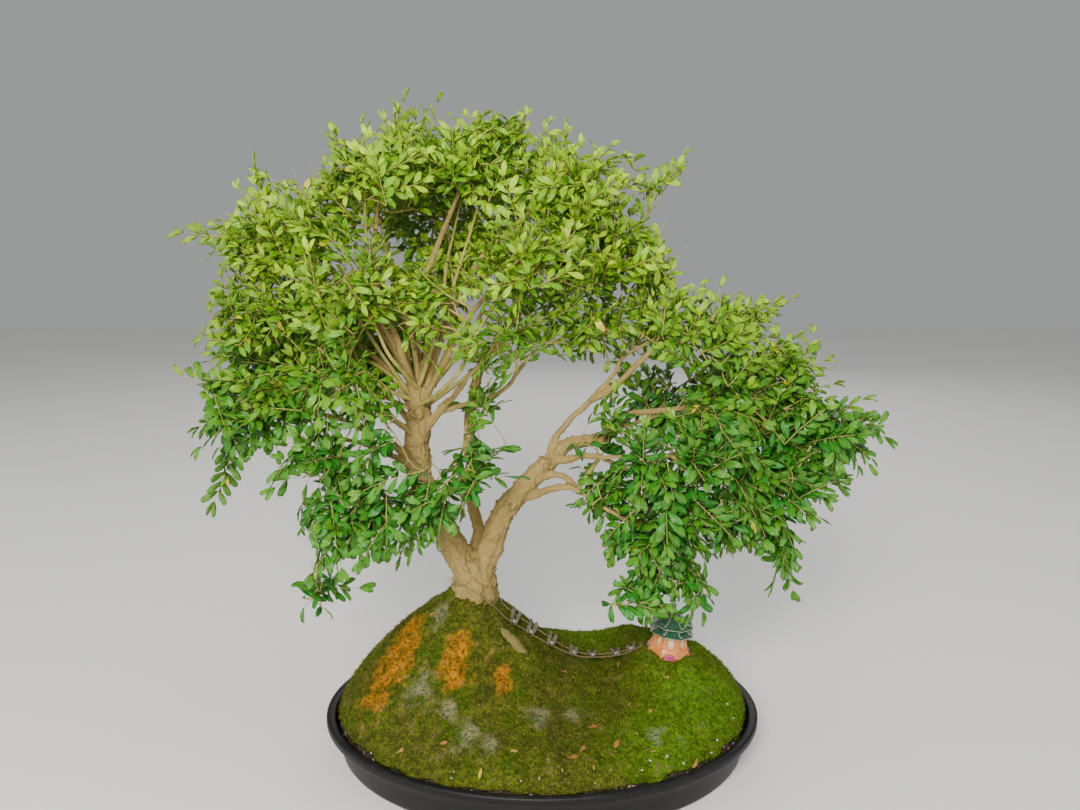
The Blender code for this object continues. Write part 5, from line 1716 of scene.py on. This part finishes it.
ROPE_POINTS = 33
SLAT_PLACES = (-28.0, -12.0, 8.0, 30.0, 49.0, 72.0, 87.0)
SLAT_SPREAD = 2.5
SLAT_OVERHANG = 2.5
SLAT_CHECKS = 6
SLAT_KINDS = 4
SLAT_LIFT = 0.3
KNOT_LIFT = 0.5
SLAT_ENDS_CUT = 0.95
SLAT_EDGE = 0.22
# The knot on a pair of slats: its radius, the turns of its cord and the cord's radius, then the trunk's knot
KNOT_RADIUS = 1.5
KNOT_TURNS = 3
KNOT_CORD = 0.34
TRUNK_KNOT_RADIUS = 2.4
TRUNK_KNOT_TURNS = 4
TRUNK_CORD = 0.5
# The ropes' height at the trunk, over which they wind round it and carry no slats
TRUNK_SIDE_HEIGHT = 150.0
TRUNK_KNOT = (-86.4, -7.8, 168.0)
# The loose ends of the trunk's knot: which way each points, and how high it bows
BOW_TAILS = [((-6.5, -2.0, 2.5), 0.8), ((-5.0, -3.0, 6.0), 0.6), ((-6.0, -3.0, -2.5), 0.9),
             ((-1.5, -3.5, 5.5), 0.5)]


def point_at(route, x):
    """The point of a fine route, past the trunk, that lies at a given x."""
    for first, second in zip(route, route[1:]):
        if first.z < TRUNK_SIDE_HEIGHT and first.x <= x <= second.x:
            return first.lerp(second, (x - first.x) / (second.x - first.x))
    raise ValueError("no rope at this place")


def slat_frame(fine, x, width):
    """Where a slat crosses the front rope, its turn, and its directions across the bridge and up."""
    front = point_at(fine["bridge_rope_front"], x)
    ahead = point_at(fine["bridge_rope_front"], x + width) - point_at(fine["bridge_rope_front"], x - width)
    ahead.normalize()
    across = point_at(fine["bridge_rope_back"], x) - front
    across = (across - ahead * across.dot(ahead)).normalized()
    up = ahead.cross(across)
    places = [x + step * width * 0.6 / SLAT_CHECKS for step in range(-SLAT_CHECKS, SLAT_CHECKS + 1)]
    lift = max((point_at(rope, place) - front).dot(up) for rope in fine.values() for place in places)
    return front + up * lift, Matrix((ahead, across, up)).transposed(), across, up


def slat_shape(name, length, width, thick, seed):
    """A split, slightly warped slat along +Y, with ragged ends and rounded edges."""
    rng = random.Random(seed)
    bm = bmesh.new()
    bmesh.ops.create_cube(bm, size=1.0)
    bmesh.ops.scale(bm, vec=(width, length, thick), verts=bm.verts)
    lengthwise = [edge for edge in bm.edges if abs((edge.verts[0].co - edge.verts[1].co).y) > length / 2]
    bmesh.ops.subdivide_edges(bm, edges=lengthwise, cuts=7, use_grid_fill=True)
    crosswise = [edge for edge in bm.edges if abs((edge.verts[0].co - edge.verts[1].co).x) > width / 2]
    bmesh.ops.subdivide_edges(bm, edges=crosswise, cuts=3, use_grid_fill=True)
    bend, twist = rng.uniform(-0.35, 0.35), rng.uniform(-0.09, 0.09)
    for vert in bm.verts:
        along = vert.co.y / (length / 2)
        vert.co.z += bend * (along * along - 0.5) + twist * vert.co.x * along
        uneven = 0.35 * noise.noise(Vector((seed * 2.3, vert.co.y * 0.4, 0.0)))
        vert.co.x *= 1.0 + uneven - 0.3 * max(0.0, along) ** 3
        vert.co.x += 0.6 * noise.noise(Vector((seed * 3.1, vert.co.y * 0.3, vert.co.x)))
        if abs(along) > SLAT_ENDS_CUT:
            vert.co.y += rng.uniform(-1.1, 0.5) * along
            vert.co.x *= 0.85
        vert.co.z += 0.12 * noise.noise(Vector((vert.co.x * 1.1, vert.co.y * 0.25, seed + 0.5)))
    made = object_of(bm, name)
    made = softened(made, SLAT_EDGE, 50.0, 40.0)
    set_attribute(made.data, "grain", "FLOAT_VECTOR", [
        (vert.co.x + seed * 0.013, vert.co.z, vert.co.y) for vert in made.data.vertices])
    return made


def wrap_of_cord(radius, turns, cord, seed, squash=0.7):
    """A small knot's route: cord wound round and over itself, with a loose end."""
    rng = random.Random(seed)
    route = []
    steps = 14 * turns
    for step in range(steps + 1):
        angle = 2 * math.pi * step * turns / steps
        share = step / steps
        lean = 0.9 * math.sin(math.pi * turns * share * 0.5)
        out = radius * (0.78 + 0.12 * math.sin(3 * angle))
        high = out * math.sin(angle) * math.sin(lean) * squash + (share - 0.5) * radius * 0.5
        point = Vector((out * math.cos(angle), out * math.sin(angle) * math.cos(lean), high))
        route.append((*(point + random_way(rng) * 0.05), cord))
    tail = Vector(route[-1][:3])
    way = Vector((0.6, -0.8, 0.45)).normalized()
    route += [(*(tail + way * reach + Vector((0.0, 0.0, -0.12 * reach * reach))), cord * 0.9)
              for reach in (0.7, 1.3, 1.9)]
    return route


def make_rope(name, points, material):
    """One rope as a round curve through its points."""
    bridge_set = bpy.context.scene.bonsai_bridge
    curve = bpy.data.curves.new(f"{name}_cord", "CURVE")
    curve.dimensions = "3D"
    curve.bevel_depth = bridge_set.rope / 2
    curve.bevel_resolution = 3
    curve.use_fill_caps = True
    spline = curve.splines.new("POLY")
    spline.points.add(len(points) - 1)
    for place, point in zip(spline.points, points):
        place.co = (*(point * MM), 1.0)
    rope = linked(f"{name}_cord", curve)
    return piece(rope, "rope", material, name)


def make_bridge():
    """Two ropes, fourteen slats, a knot on each pair of slats and the knot at the trunk."""
    bridge_set = bpy.context.scene.bonsai_bridge
    width, length = bridge_set.slat_width / MM, bridge_set.slat_length / MM
    thick = bridge_set.slat_thickness / MM
    fine = {name: smooth_route(route, ROPE_POINTS) for name, route in ROPES.items()}
    over = bridge_set.rope / MM / 2 + SLAT_LIFT + thick / 2
    rng = random.Random(5)
    places, knots, nodes, knot_nodes = [], [], [], []
    # The second colour is the painted shade between the cord's strands, which its dirt also takes
    knot_material = finish_of("knot cord", cord_finish, bridge_set.knot_colour, (0.36, 0.31, 0.22))
    for unit, x in enumerate(SLAT_PLACES, 1):
        for side, label in ((-1, "a"), (1, "b")):
            front, turn, across, up = slat_frame(fine, x + side * SLAT_SPREAD, width)
            splay = Matrix.Rotation(-side * rng.uniform(0.02, 0.16), 3, "Z")
            turn = turn @ splay @ Matrix.Rotation(rng.uniform(0.0, 0.07), 3, "X")
            middle = front + across * (length / 2 - SLAT_OVERHANG) + up * over
            places.append((middle, turn, 1.0, rng.randrange(SLAT_KINDS), rng.random(), 0.0))
            nodes.append(f"bridge_slat_{unit}{label}")
        front, turn, _, up = slat_frame(fine, x, width)
        middle = front + up * (over + thick / 2 + KNOT_LIFT)
        route = wrap_of_cord(KNOT_RADIUS, KNOT_TURNS, KNOT_CORD, 60 + unit)
        knots.append([(*(middle + turn @ Vector(point[:3])), point[3]) for point in route])
        knot_nodes.append(f"bridge_knot_{unit}")
    held = Shapes("slat shapes", [
        slat_shape(f"slat_{kind}", length, width, thick, kind) for kind in range(SLAT_KINDS)])
    material = finish_of("weathered slat", slat_finish)
    slats = scattered("bridge_slats", places, held, material)
    held.remove()
    piece(slats, "slat_wood", material, *nodes)
    ties = tubes_along("bridge_knots", knots, 6, knot_material)
    piece(ties, "knot_cord", knot_material, *knot_nodes)
    route = [(*(Vector(TRUNK_KNOT) + Vector(point[:3])), point[3])
             for point in wrap_of_cord(TRUNK_KNOT_RADIUS, TRUNK_KNOT_TURNS, TRUNK_CORD, 77, 1.0)]
    tails = []
    for way, bow in BOW_TAILS:
        tail = [(Vector(TRUNK_KNOT) + Vector(way) * reach + UP * bow * math.sin(3.0 * reach), reach)
                for reach in (0.0, 0.3, 0.6, 0.85, 1.0)]
        tails.append([(*point, 0.85 - 0.3 * reach) for point, reach in tail])
    trunk_tie = tubes_along("trunk_tie", [route] + tails, 8, knot_material)
    piece(trunk_tie, "knot_cord", knot_material, "trunk_knot")
    # The second colour is the painted shade between the rope's strands, which its dirt also takes
    rope_material = finish_of("twisted rope", cord_finish, bridge_set.rope_colour, (0.13, 0.08, 0.05))
    for name, points in fine.items():
        rope = make_rope(name, points, rope_material)


# Pavilion, in its own millimetres: the foot's middle at the origin, the front towards -Y

SIDES = 8
# The wall's side as (radius, height), from the foot up
WALL_SIDE = ((23.5, 0.0), (21.6, 1.9), (19.6, 4.4), (18.0, 7.6), (16.8, 11.0), (15.9, 15.0), (15.5, 18.4),
             (15.3, 22.0))
# Each roof's top and eaves as (radius, height), and how hollow it is
ROOFS = (((10.6, 29.2), (21.6, 21.0), 3.2), ((2.2, 42.6), (20.6, 29.0), 4.2))
ROOF_STEPS = 9
SIDE_PARTS = 12
HOLLOW_SHARE = 0.42
# The finial as (radius, height), from its foot up, and its tip's height
FINIAL = ((2.2, 41.0), (2.6, 42.0), (1.7, 43.0), (0.9, 43.5), (1.3, 44.2), (1.75, 45.4), (1.5, 46.6),
          (0.9, 47.6))
FINIAL_TIP = 48.0
FINIAL_SIDES = 20
# Each step's height and how far it reaches from the axis, and the radius that the steps start from
TREADS = ((10.0, 13.2), (7.0, 17.0), (4.0, 20.5), (1.6, 24.0))
STEP_HALF = 5.0
STEP_START = 8.0
# A door's outline and a window's as (millimetres across, share of the height)
DOOR = ((-2.7, 0.0), (2.7, 0.0), (2.5, 0.72), (1.7, 0.93), (0.0, 1.0), (-1.7, 0.93), (-2.5, 0.72))
LENS = [(1.9 * math.cos(turn) + 0.55 * math.sin(turn), 0.5 + 0.5 * math.sin(turn))
        for turn in (2 * math.pi * step / 14 for step in range(14))]


def pavilion_place():
    place = Matrix.Translation(PAVILION_PLACE) @ Matrix.Rotation(PAVILION_LEAN, 4, "Y")
    return place @ Matrix.Rotation(PAVILION_TURN, 4, "Z")


def corner_way(corner):
    """The way from the axis to a corner of the eight-sided plan."""
    angle = math.pi / SIDES + corner * 2 * math.pi / SIDES
    return Vector((math.cos(angle), math.sin(angle), 0.0))


def placed(bm, name):
    """A pavilion part from a bmesh in the pavilion's own millimetres."""
    bmesh.ops.remove_doubles(bm, verts=bm.verts, dist=0.001)
    bm.transform(pavilion_place())
    return object_of(bm, name)


def softened(thing, width, rounded=30.0, sharp=45.0):
    """Worn or glazed edges: rounded where they turn more than one angle, and sharp still over the other."""
    bevel = thing.modifiers.new("soft edges", "BEVEL")
    bevel.width = width * MM
    bevel.segments = 2
    bevel.angle_limit = math.radians(rounded)
    made = applied(thing)
    smoothed(made, sharp)
    return made


def glazed(bm, name, width, material, *nodes):
    """A part of the pavilion with edges that its glaze rounded, as a finished piece."""
    return piece(softened(placed(bm, name), width), "glaze", material, *nodes)


def ring_of_points(bm, radius, height, parts, raised=None):
    """Points round the eight-sided plan, each side split into parts and each part raised by its own rise."""
    made = []
    for corner in range(SIDES):
        first, second = corner_way(corner) * radius, corner_way(corner + 1) * radius
        for part in range(parts):
            point = first.lerp(second, part / parts)
            made.append(bm.verts.new((point.x, point.y, height + (raised(part / parts) if raised else 0.0))))
    return made


def skin(bm, rings, top=True):
    """Faces between rings of points, closed at the start and mostly at the end."""
    for near, far in zip(rings, rings[1:]):
        for index in range(len(near)):
            after = (index + 1) % len(near)
            bm.faces.new((near[index], near[after], far[after], far[index]))
    bm.faces.new(tuple(reversed(rings[0])))
    if top:
        bm.faces.new(rings[-1])


def block(bm, size, place):
    """A box of a size, moved by a matrix."""
    made = bmesh.ops.create_cube(bm, size=1.0)
    bmesh.ops.scale(bm, vec=size, verts=made["verts"])
    bmesh.ops.transform(bm, matrix=place, verts=made["verts"])


def beam(bm, first, second, face, deep, high):
    """A bar between two points, with its top towards face."""
    turn = turned_to(second - first, face).to_4x4()
    place = Matrix.Translation(first.lerp(second, 0.5)) @ turn
    block(bm, ((second - first).length + 0.4, deep, high), place)


def wall_radius(height):
    """How far the middle of a wall stands from the pavilion's axis at a height."""
    flat = math.cos(math.pi / SIDES)
    for (first, low), (second, high) in zip(WALL_SIDE, WALL_SIDE[1:]):
        if low <= height <= high:
            return (first + (second - first) * (height - low) / (high - low)) * flat
    return WALL_SIDE[-1][0] * flat


def make_walls(material):
    """The eight walls in one, with a rib up each corner."""
    bm = bmesh.new()
    skin(bm, [ring_of_points(bm, radius, height, 4) for radius, height in WALL_SIDE])
    for corner in range(SIDES):
        way = corner_way(corner)
        lines = [way * (radius * 0.985) + UP * height for radius, height in WALL_SIDE]
        for low, high in zip(lines, lines[1:]):
            beam(bm, low, high, way, 1.9, 1.3)
    glazed(bm, "pavilion_walls", 0.3, material, "pavilion")


def panel(bm, outline, way, low, high, deep):
    """A raised panel on a wall: an outline of (share across, share up), between two heights."""
    side = UP.cross(way)
    rings = []
    for out in (-0.4, deep):
        ring = []
        for across, up in outline:
            height = low + (high - low) * up
            ring.append(bm.verts.new(way * (wall_radius(height) + out) + side * across + UP * height))
        rings.append(ring)
    skin(bm, rings)


def make_openings(pale, dark):
    """A pale door in each main wall and a slanted lens of a window in each wall between."""
    doors, windows, frames = bmesh.new(), bmesh.new(), bmesh.new()
    for wall in range(SIDES):
        angle = wall * 2 * math.pi / SIDES - math.pi / 2
        way = Vector((math.cos(angle), math.sin(angle), 0.0))
        if wall % 2 == 0:
            panel(frames, [(across * 1.32, up * 1.04) for across, up in DOOR], way, 9.4, 20.4, 0.45)
            panel(doors, DOOR, way, 9.6, 19.8, 0.75)
        else:
            wider = [(across * 1.4, 0.5 + (up - 0.5) * 1.24) for across, up in LENS]
            panel(frames, wider, way, 9.6, 17.6, 0.4)
            panel(windows, LENS, way, 9.6, 17.6, 0.7)
    glazed(frames, "pavilion_frames", 0.15, dark)
    glazed(doors, "pavilion_doors", 0.15, pale)
    glazed(windows, "pavilion_windows", 0.15, pale)


def roof_line(roof, share):
    """A roof's radius and height at a share of the way from its top to its eaves."""
    (near, high), (far, low), hollow = roof
    down = min(1.0, share)
    height = high + (low - high) * down - hollow * math.sin(math.pi * down) * HOLLOW_SHARE
    return near + (far - near) * share, height


def make_roofs(tile, ridge):
    """Two concave roofs with rows of tiles, cream ridges with curled tips, and eaves."""
    tiles, eaves = bmesh.new(), bmesh.new()
    bars = []
    place = pavilion_place()
    for roof in ROOFS:
        rings = []
        for step in range(ROOF_STEPS + 1):
            share = step / ROOF_STEPS
            radius, height = roof_line(roof, share)
            lap = 0.22 * (step % 2) if 0 < step < ROOF_STEPS else 0.0
            rings.append(ring_of_points(tiles, radius, height + lap, SIDE_PARTS, lambda along: 0.34 * abs(
                math.sin(3 * math.pi * along)) * min(1.0, share * 3)))
        under = [[tiles.verts.new(vert.co - UP * 1.1) for vert in ring] for ring in (rings[-1], rings[0])]
        skin(tiles, rings + under)
        reach, low = roof[1]
        for corner in range(SIDES):
            line = []
            for step in range(ROOF_STEPS + 1):
                share = step / ROOF_STEPS * 1.05
                radius, height = roof_line(roof, share)
                curl = 1.9 * max(0.0, share - 0.72) ** 2 * 14
                point = place @ (corner_way(corner) * radius + UP * (height + 0.5 + curl))
                line.append((*point, 0.46 + 0.2 * (step > 7)))
            bars.append(line)
            ends = [corner_way(end) * (reach + 0.15) + UP * (low - 0.35) for end in (corner, corner + 1)]
            beam(eaves, *ends, UP, 0.5, 0.5)
    covered = placed(tiles, "pavilion_roofs")
    smoothed(covered, 32.0)
    piece(covered, "glaze", tile)
    glazed(eaves, "pavilion_eaves", 0.2, ridge)
    piece(tubes_along("pavilion_ridges", bars, 8, ridge), "glaze", ridge)


def make_finial(material):
    """The turned knob on the upper roof."""
    bm = bmesh.new()
    turns = [2 * math.pi * step / FINIAL_SIDES for step in range(FINIAL_SIDES)]
    rings = [[bm.verts.new((radius * math.cos(turn), radius * math.sin(turn), height)) for turn in turns]
             for radius, height in FINIAL]
    skin(bm, rings, top=False)
    tip = bm.verts.new((0.0, 0.0, FINIAL_TIP))
    last = rings[-1]
    for first, second in zip(last, last[1:] + last[:1]):
        bm.faces.new((first, second, tip))
    knob = placed(bm, "pavilion_finial")
    smoothed(knob, 60.0)
    piece(knob, "glaze", material)


def make_steps(front, others):
    """Four flights of worn steps, the front one in its own glaze."""
    flights = [bmesh.new(), bmesh.new()]
    for quarter in range(4):
        bm = flights[0] if quarter == 0 else flights[1]
        turn = Matrix.Rotation(quarter * math.pi / 2, 4, "Z")
        for height, reach in TREADS:
            wide = 2 * (STEP_HALF + (reach - WALL_SIDE[0][0]) * 0.12)
            place = turn @ Matrix.Translation((0.0, -(reach + STEP_START) / 2, height / 2 + 0.01 * reach))
            block(bm, (wide, reach - STEP_START, height), place)
    glazed(flights[0], "pavilion_front_steps", 0.35, front)
    glazed(flights[1], "pavilion_side_steps", 0.35, others)


def make_pavilion():
    """Walls, doors, windows, roofs, ridges, finial and steps, all glazed."""
    chosen = bpy.context.scene.bonsai_pavilion
    wall = finish_of("wall glaze", glaze_finish, chosen.wall, (0.72, 0.36, 0.10))
    dark = finish_of("frame glaze", glaze_finish, (0.45, 0.12, 0.03), (0.62, 0.25, 0.06))
    pale = finish_of("pale glaze", glaze_finish, (0.62, 0.52, 0.34), (0.48, 0.34, 0.18))
    tile = finish_of("tile glaze", glaze_finish, chosen.roof, (0.035, 0.15, 0.09), 240.0)
    ridge = finish_of("ridge glaze", glaze_finish, chosen.ridge, (0.36, 0.30, 0.17), 400.0)
    knob = finish_of("finial glaze", glaze_finish, (0.20, 0.045, 0.02), (0.36, 0.12, 0.04))
    front = finish_of("front step glaze", glaze_finish, chosen.front_steps, (0.5, 0.12, 0.2))
    others = finish_of("side step glaze", glaze_finish, chosen.side_steps, (0.3, 0.06, 0.04))
    make_walls(wall)
    make_openings(pale, dark)
    make_roofs(tile, ridge)
    make_finial(knob)
    make_steps(front, others)


# What lies on the moss and the rim: (x, y) and the tint of each fallen leaf that shows
FALLEN = [
    (-51, -134, 0.05), (-128, -109, 0.4), (21, -127, 0.75), (32, -121, 0.6), (6, -134, 0.95), (68, -105, 0.7),
    (82, -58, 0.55), (18, -22, 0.6), (74, -12, 0.5), (136, -107, 0.45), (-20, -120, 0.3), (52, -88, 0.85),
    (100, -70, 0.35), (-90, -110, 0.62),
]
# The number of white stones and of their shapes, and what loose leaves keep away from: pavilion and trunk
PEBBLES = 22
PEBBLE_KINDS = 4
LEAF_CLEAR = (34, 36)


def make_litter():
    """Fallen leaves on the moss, and white grit between the moss and the rim."""
    ground = bpy.context.scene.bonsai_ground
    rng = random.Random(9)
    spots = list(FALLEN)
    while len(spots) < len(FALLEN) + ground.fallen_leaves:
        x, y = rng.uniform(-180, 185), rng.uniform(-145, 145)
        clear = from_pavilion(x, y) > LEAF_CLEAR[0] and math.hypot(x - TRUNK[0][0], y) > LEAF_CLEAR[1]
        if clear and math.hypot(x, y / ACROSS) < 190:
            spots.append((x, y, rng.uniform(0.2, 1.0)))
    places = []
    for index, (x, y, tint) in enumerate(spots):
        slope = Vector((ground_height(x - 4, y) - ground_height(x + 4, y),
                        ground_height(x, y - 4) - ground_height(x, y + 4), 8.0)).normalized()
        way = Vector((rng.gauss(0, 1), rng.gauss(0, 1), 0.0))
        way = (way - slope * way.dot(slope)).normalized()
        face = (slope + random_way(rng) * 0.3).normalized()
        size = rng.uniform(0.55, 0.75) if index < len(FALLEN) else rng.uniform(0.25, 0.5)
        spot = Vector((x, y, moss_top(x, y) + 1.3))
        places.append((spot, turned_to(way, face), size, rng.randrange(len(LEAF_KINDS)), tint, 1.0))
    held = leaf_shapes("dry_leaf", 0.8, -0.12)
    material = finish_of("fallen leaf", fallen_finish)
    leaves = scattered("fallen_leaves", places, held, material)
    held.remove()
    piece(leaves, "leaf", material)
    shapes = []
    for kind in range(PEBBLE_KINDS):
        bm = bmesh.new()
        bmesh.ops.create_icosphere(bm, subdivisions=2, radius=1.0)
        for vert in bm.verts:
            vert.co *= 1.0 + 0.3 * noise.noise(vert.co * 1.3 + Vector((kind * 7.0, 0.0, 0.0)))
            vert.co.z *= 0.7
        shapes.append(object_of(bm, f"pebble_{kind}"))
        shapes[-1].data.shade_smooth()
    held = Shapes("pebble shapes", shapes)
    places = []
    for _ in range(PEBBLES):
        angle = rng.gauss(-0.9, 0.75) if rng.random() < 0.6 else rng.uniform(0.0, 2 * math.pi)
        reach = MOSS_REACH * rng.uniform(0.93, 0.995)
        x, y = reach * math.cos(angle), reach * math.sin(angle) * ACROSS
        spot = Vector((x, y, moss_top(x, y) + 0.5))
        turn = turned_to(random_way(rng), UP)
        places.append((spot, turn, rng.uniform(0.4, 1.1), rng.randrange(PEBBLE_KINDS), rng.random(), 0.0))
    material = finish_of("white grit", pebble_finish)
    grit = scattered("white_grit", places, held, material)
    held.remove()
    piece(grit, "soil", material)


# Stage

# What the lights point at, and each light but the key light: name, place, size, share of the fill, colour
LIGHT_TARGET = Vector((0.0, 0.0, 0.30))
FILL_LIGHTS = (
    ("top", (0.0, -0.1, 2.2), (2.2, 2.2), 1.3, (1.0, 0.99, 0.97)),
    ("left fill", (-2.1, -0.2, 1.0), (1.2, 1.4), 1.5, (0.94, 0.97, 1.0)),
    ("right fill", (2.1, -0.6, 1.1), (1.2, 1.4), 1.5, (0.96, 0.98, 1.0)),
    ("back", (0.3, 2.1, 1.3), (1.6, 1.2), 1.4, (1.0, 0.98, 0.95)),
)
SKY_COLOUR = (0.93, 0.94, 0.95, 1.0)
SKY_STRENGTH = 0.38
FAR_CLIP = 50.0


def area_light(name, place, size, power, colour):
    data = bpy.data.lights.new(name, "AREA")
    data.shape = "RECTANGLE"
    data.size, data.size_y = size
    data.energy = power
    data.color = colour
    made = linked(name, data)
    made.location = place
    made.rotation_euler = (LIGHT_TARGET - Vector(place)).to_track_quat("-Z", "Y").to_euler()


def make_stage():
    """Pale floor, soft studio lights, and a camera at the photograph's angle."""
    stage = bpy.context.scene.bonsai_stage
    half = stage.floor_size / 2
    corners = [(x * half / MM, y * half / MM, 0.0) for x, y in ((-1, -1), (1, -1), (1, 1), (-1, 1))]
    floor = mesh_of("floor", corners, [(0, 1, 2, 3)])
    floor.data.materials.append(finish_of("pale floor", floor_finish))
    area_light("key", (-0.35, -1.9, 1.35), (0.9, 0.7), stage.key_power, (1.0, 0.965, 0.90))
    for name, place, size, share, colour in FILL_LIGHTS:
        area_light(name, place, size, stage.fill_power * share, colour)
    world = bpy.data.worlds.new("soft studio")
    world.use_nodes = True
    sky = world.node_tree.nodes["Background"]
    sky.inputs["Color"].default_value = SKY_COLOUR
    sky.inputs["Strength"].default_value = SKY_STRENGTH
    bpy.context.scene.world = world
    data = bpy.data.cameras.new("camera")
    data.lens = stage.camera_lens
    data.sensor_width = SENSOR
    data.clip_end = FAR_CLIP
    camera = linked("camera", data)
    camera.location = (stage.camera_aside, -stage.camera_distance, stage.camera_height)
    camera.rotation_euler = (math.pi / 2 - stage.camera_pitch, 0.0, 0.0)
    bpy.context.scene.camera = camera


# Operators, one for each group of pieces

class BONSAI_OT_pot(bpy.types.Operator):
    """Make the black plastic pot"""
    bl_idname = "bonsai.pot"
    bl_label = "Pot"

    def execute(self, context):
        make_pot()
        return {"FINISHED"}


class BONSAI_OT_soil(bpy.types.Operator):
    """Make the soil under the moss"""
    bl_idname = "bonsai.soil"
    bl_label = "Soil"

    def execute(self, context):
        make_soil()
        return {"FINISHED"}


class BONSAI_OT_moss(bpy.types.Operator):
    """Grow the moss carpet and its tufts"""
    bl_idname = "bonsai.moss"
    bl_label = "Moss"

    def execute(self, context):
        make_moss()
        return {"FINISHED"}


class BONSAI_OT_wood(bpy.types.Operator):
    """Fuse and carve the trunk, limbs and roots"""
    bl_idname = "bonsai.wood"
    bl_label = "Trunk and Limbs"

    def execute(self, context):
        make_wood()
        return {"FINISHED"}


class BONSAI_OT_foliage(bpy.types.Operator):
    """Grow the twigs and leaves of every spray"""
    bl_idname = "bonsai.foliage"
    bl_label = "Foliage"

    def execute(self, context):
        make_foliage()
        return {"FINISHED"}


class BONSAI_OT_bridge(bpy.types.Operator):
    """Hang the rope bridge with its slats and knots"""
    bl_idname = "bonsai.bridge"
    bl_label = "Rope Bridge"

    def execute(self, context):
        make_bridge()
        return {"FINISHED"}


class BONSAI_OT_pavilion(bpy.types.Operator):
    """Build the glazed pavilion"""
    bl_idname = "bonsai.pavilion"
    bl_label = "Pavilion"

    def execute(self, context):
        make_pavilion()
        return {"FINISHED"}


class BONSAI_OT_litter(bpy.types.Operator):
    """Scatter fallen leaves and white grit"""
    bl_idname = "bonsai.litter"
    bl_label = "Fallen Leaves and Grit"

    def execute(self, context):
        make_litter()
        return {"FINISHED"}


class BONSAI_OT_stage(bpy.types.Operator):
    """Set up the floor, lights and camera"""
    bl_idname = "bonsai.stage"
    bl_label = "Stage"

    def execute(self, context):
        make_stage()
        return {"FINISHED"}


OPERATORS = (BONSAI_OT_stage, BONSAI_OT_bridge, BONSAI_OT_pot, BONSAI_OT_soil, BONSAI_OT_moss, BONSAI_OT_wood,
             BONSAI_OT_foliage, BONSAI_OT_pavilion, BONSAI_OT_litter)
SETTINGS = {"bonsai_tree": TreeSettings, "bonsai_ground": GroundSettings, "bonsai_pot": PotSettings,
            "bonsai_bridge": BridgeSettings, "bonsai_pavilion": PavilionSettings,
            "bonsai_stage": StageSettings}


class BONSAI_PT_panel(bpy.types.Panel):
    """Sizes, colours and the steps that build the bonsai"""
    bl_label = "Bonsai"
    bl_idname = "BONSAI_PT_panel"
    bl_space_type = "VIEW_3D"
    bl_region_type = "UI"
    bl_category = "Bonsai"

    def draw(self, context):
        for name in SETTINGS:
            box = self.layout.box()
            settings = getattr(context.scene, name)
            for key in settings.__annotations__:
                box.prop(settings, key)
        for operator in OPERATORS:
            self.layout.operator(operator.bl_idname)


def register():
    for kind in (*SETTINGS.values(), *OPERATORS, BONSAI_PT_panel):
        bpy.utils.register_class(kind)
    for name, kind in SETTINGS.items():
        setattr(bpy.types.Scene, name, PointerProperty(type=kind))


def unregister():
    for name in SETTINGS:
        delattr(bpy.types.Scene, name)
    for kind in (BONSAI_PT_panel, *OPERATORS, *SETTINGS.values()):
        bpy.utils.unregister_class(kind)


def main():
    register()
    bpy.ops.bonsai.stage()
    bpy.ops.bonsai.bridge()
    bpy.ops.bonsai.pot()
    bpy.ops.bonsai.soil()
    bpy.ops.bonsai.moss()
    bpy.ops.bonsai.wood()
    bpy.ops.bonsai.foliage()
    bpy.ops.bonsai.pavilion()
    bpy.ops.bonsai.litter()


if __name__ == "__main__":
    main()
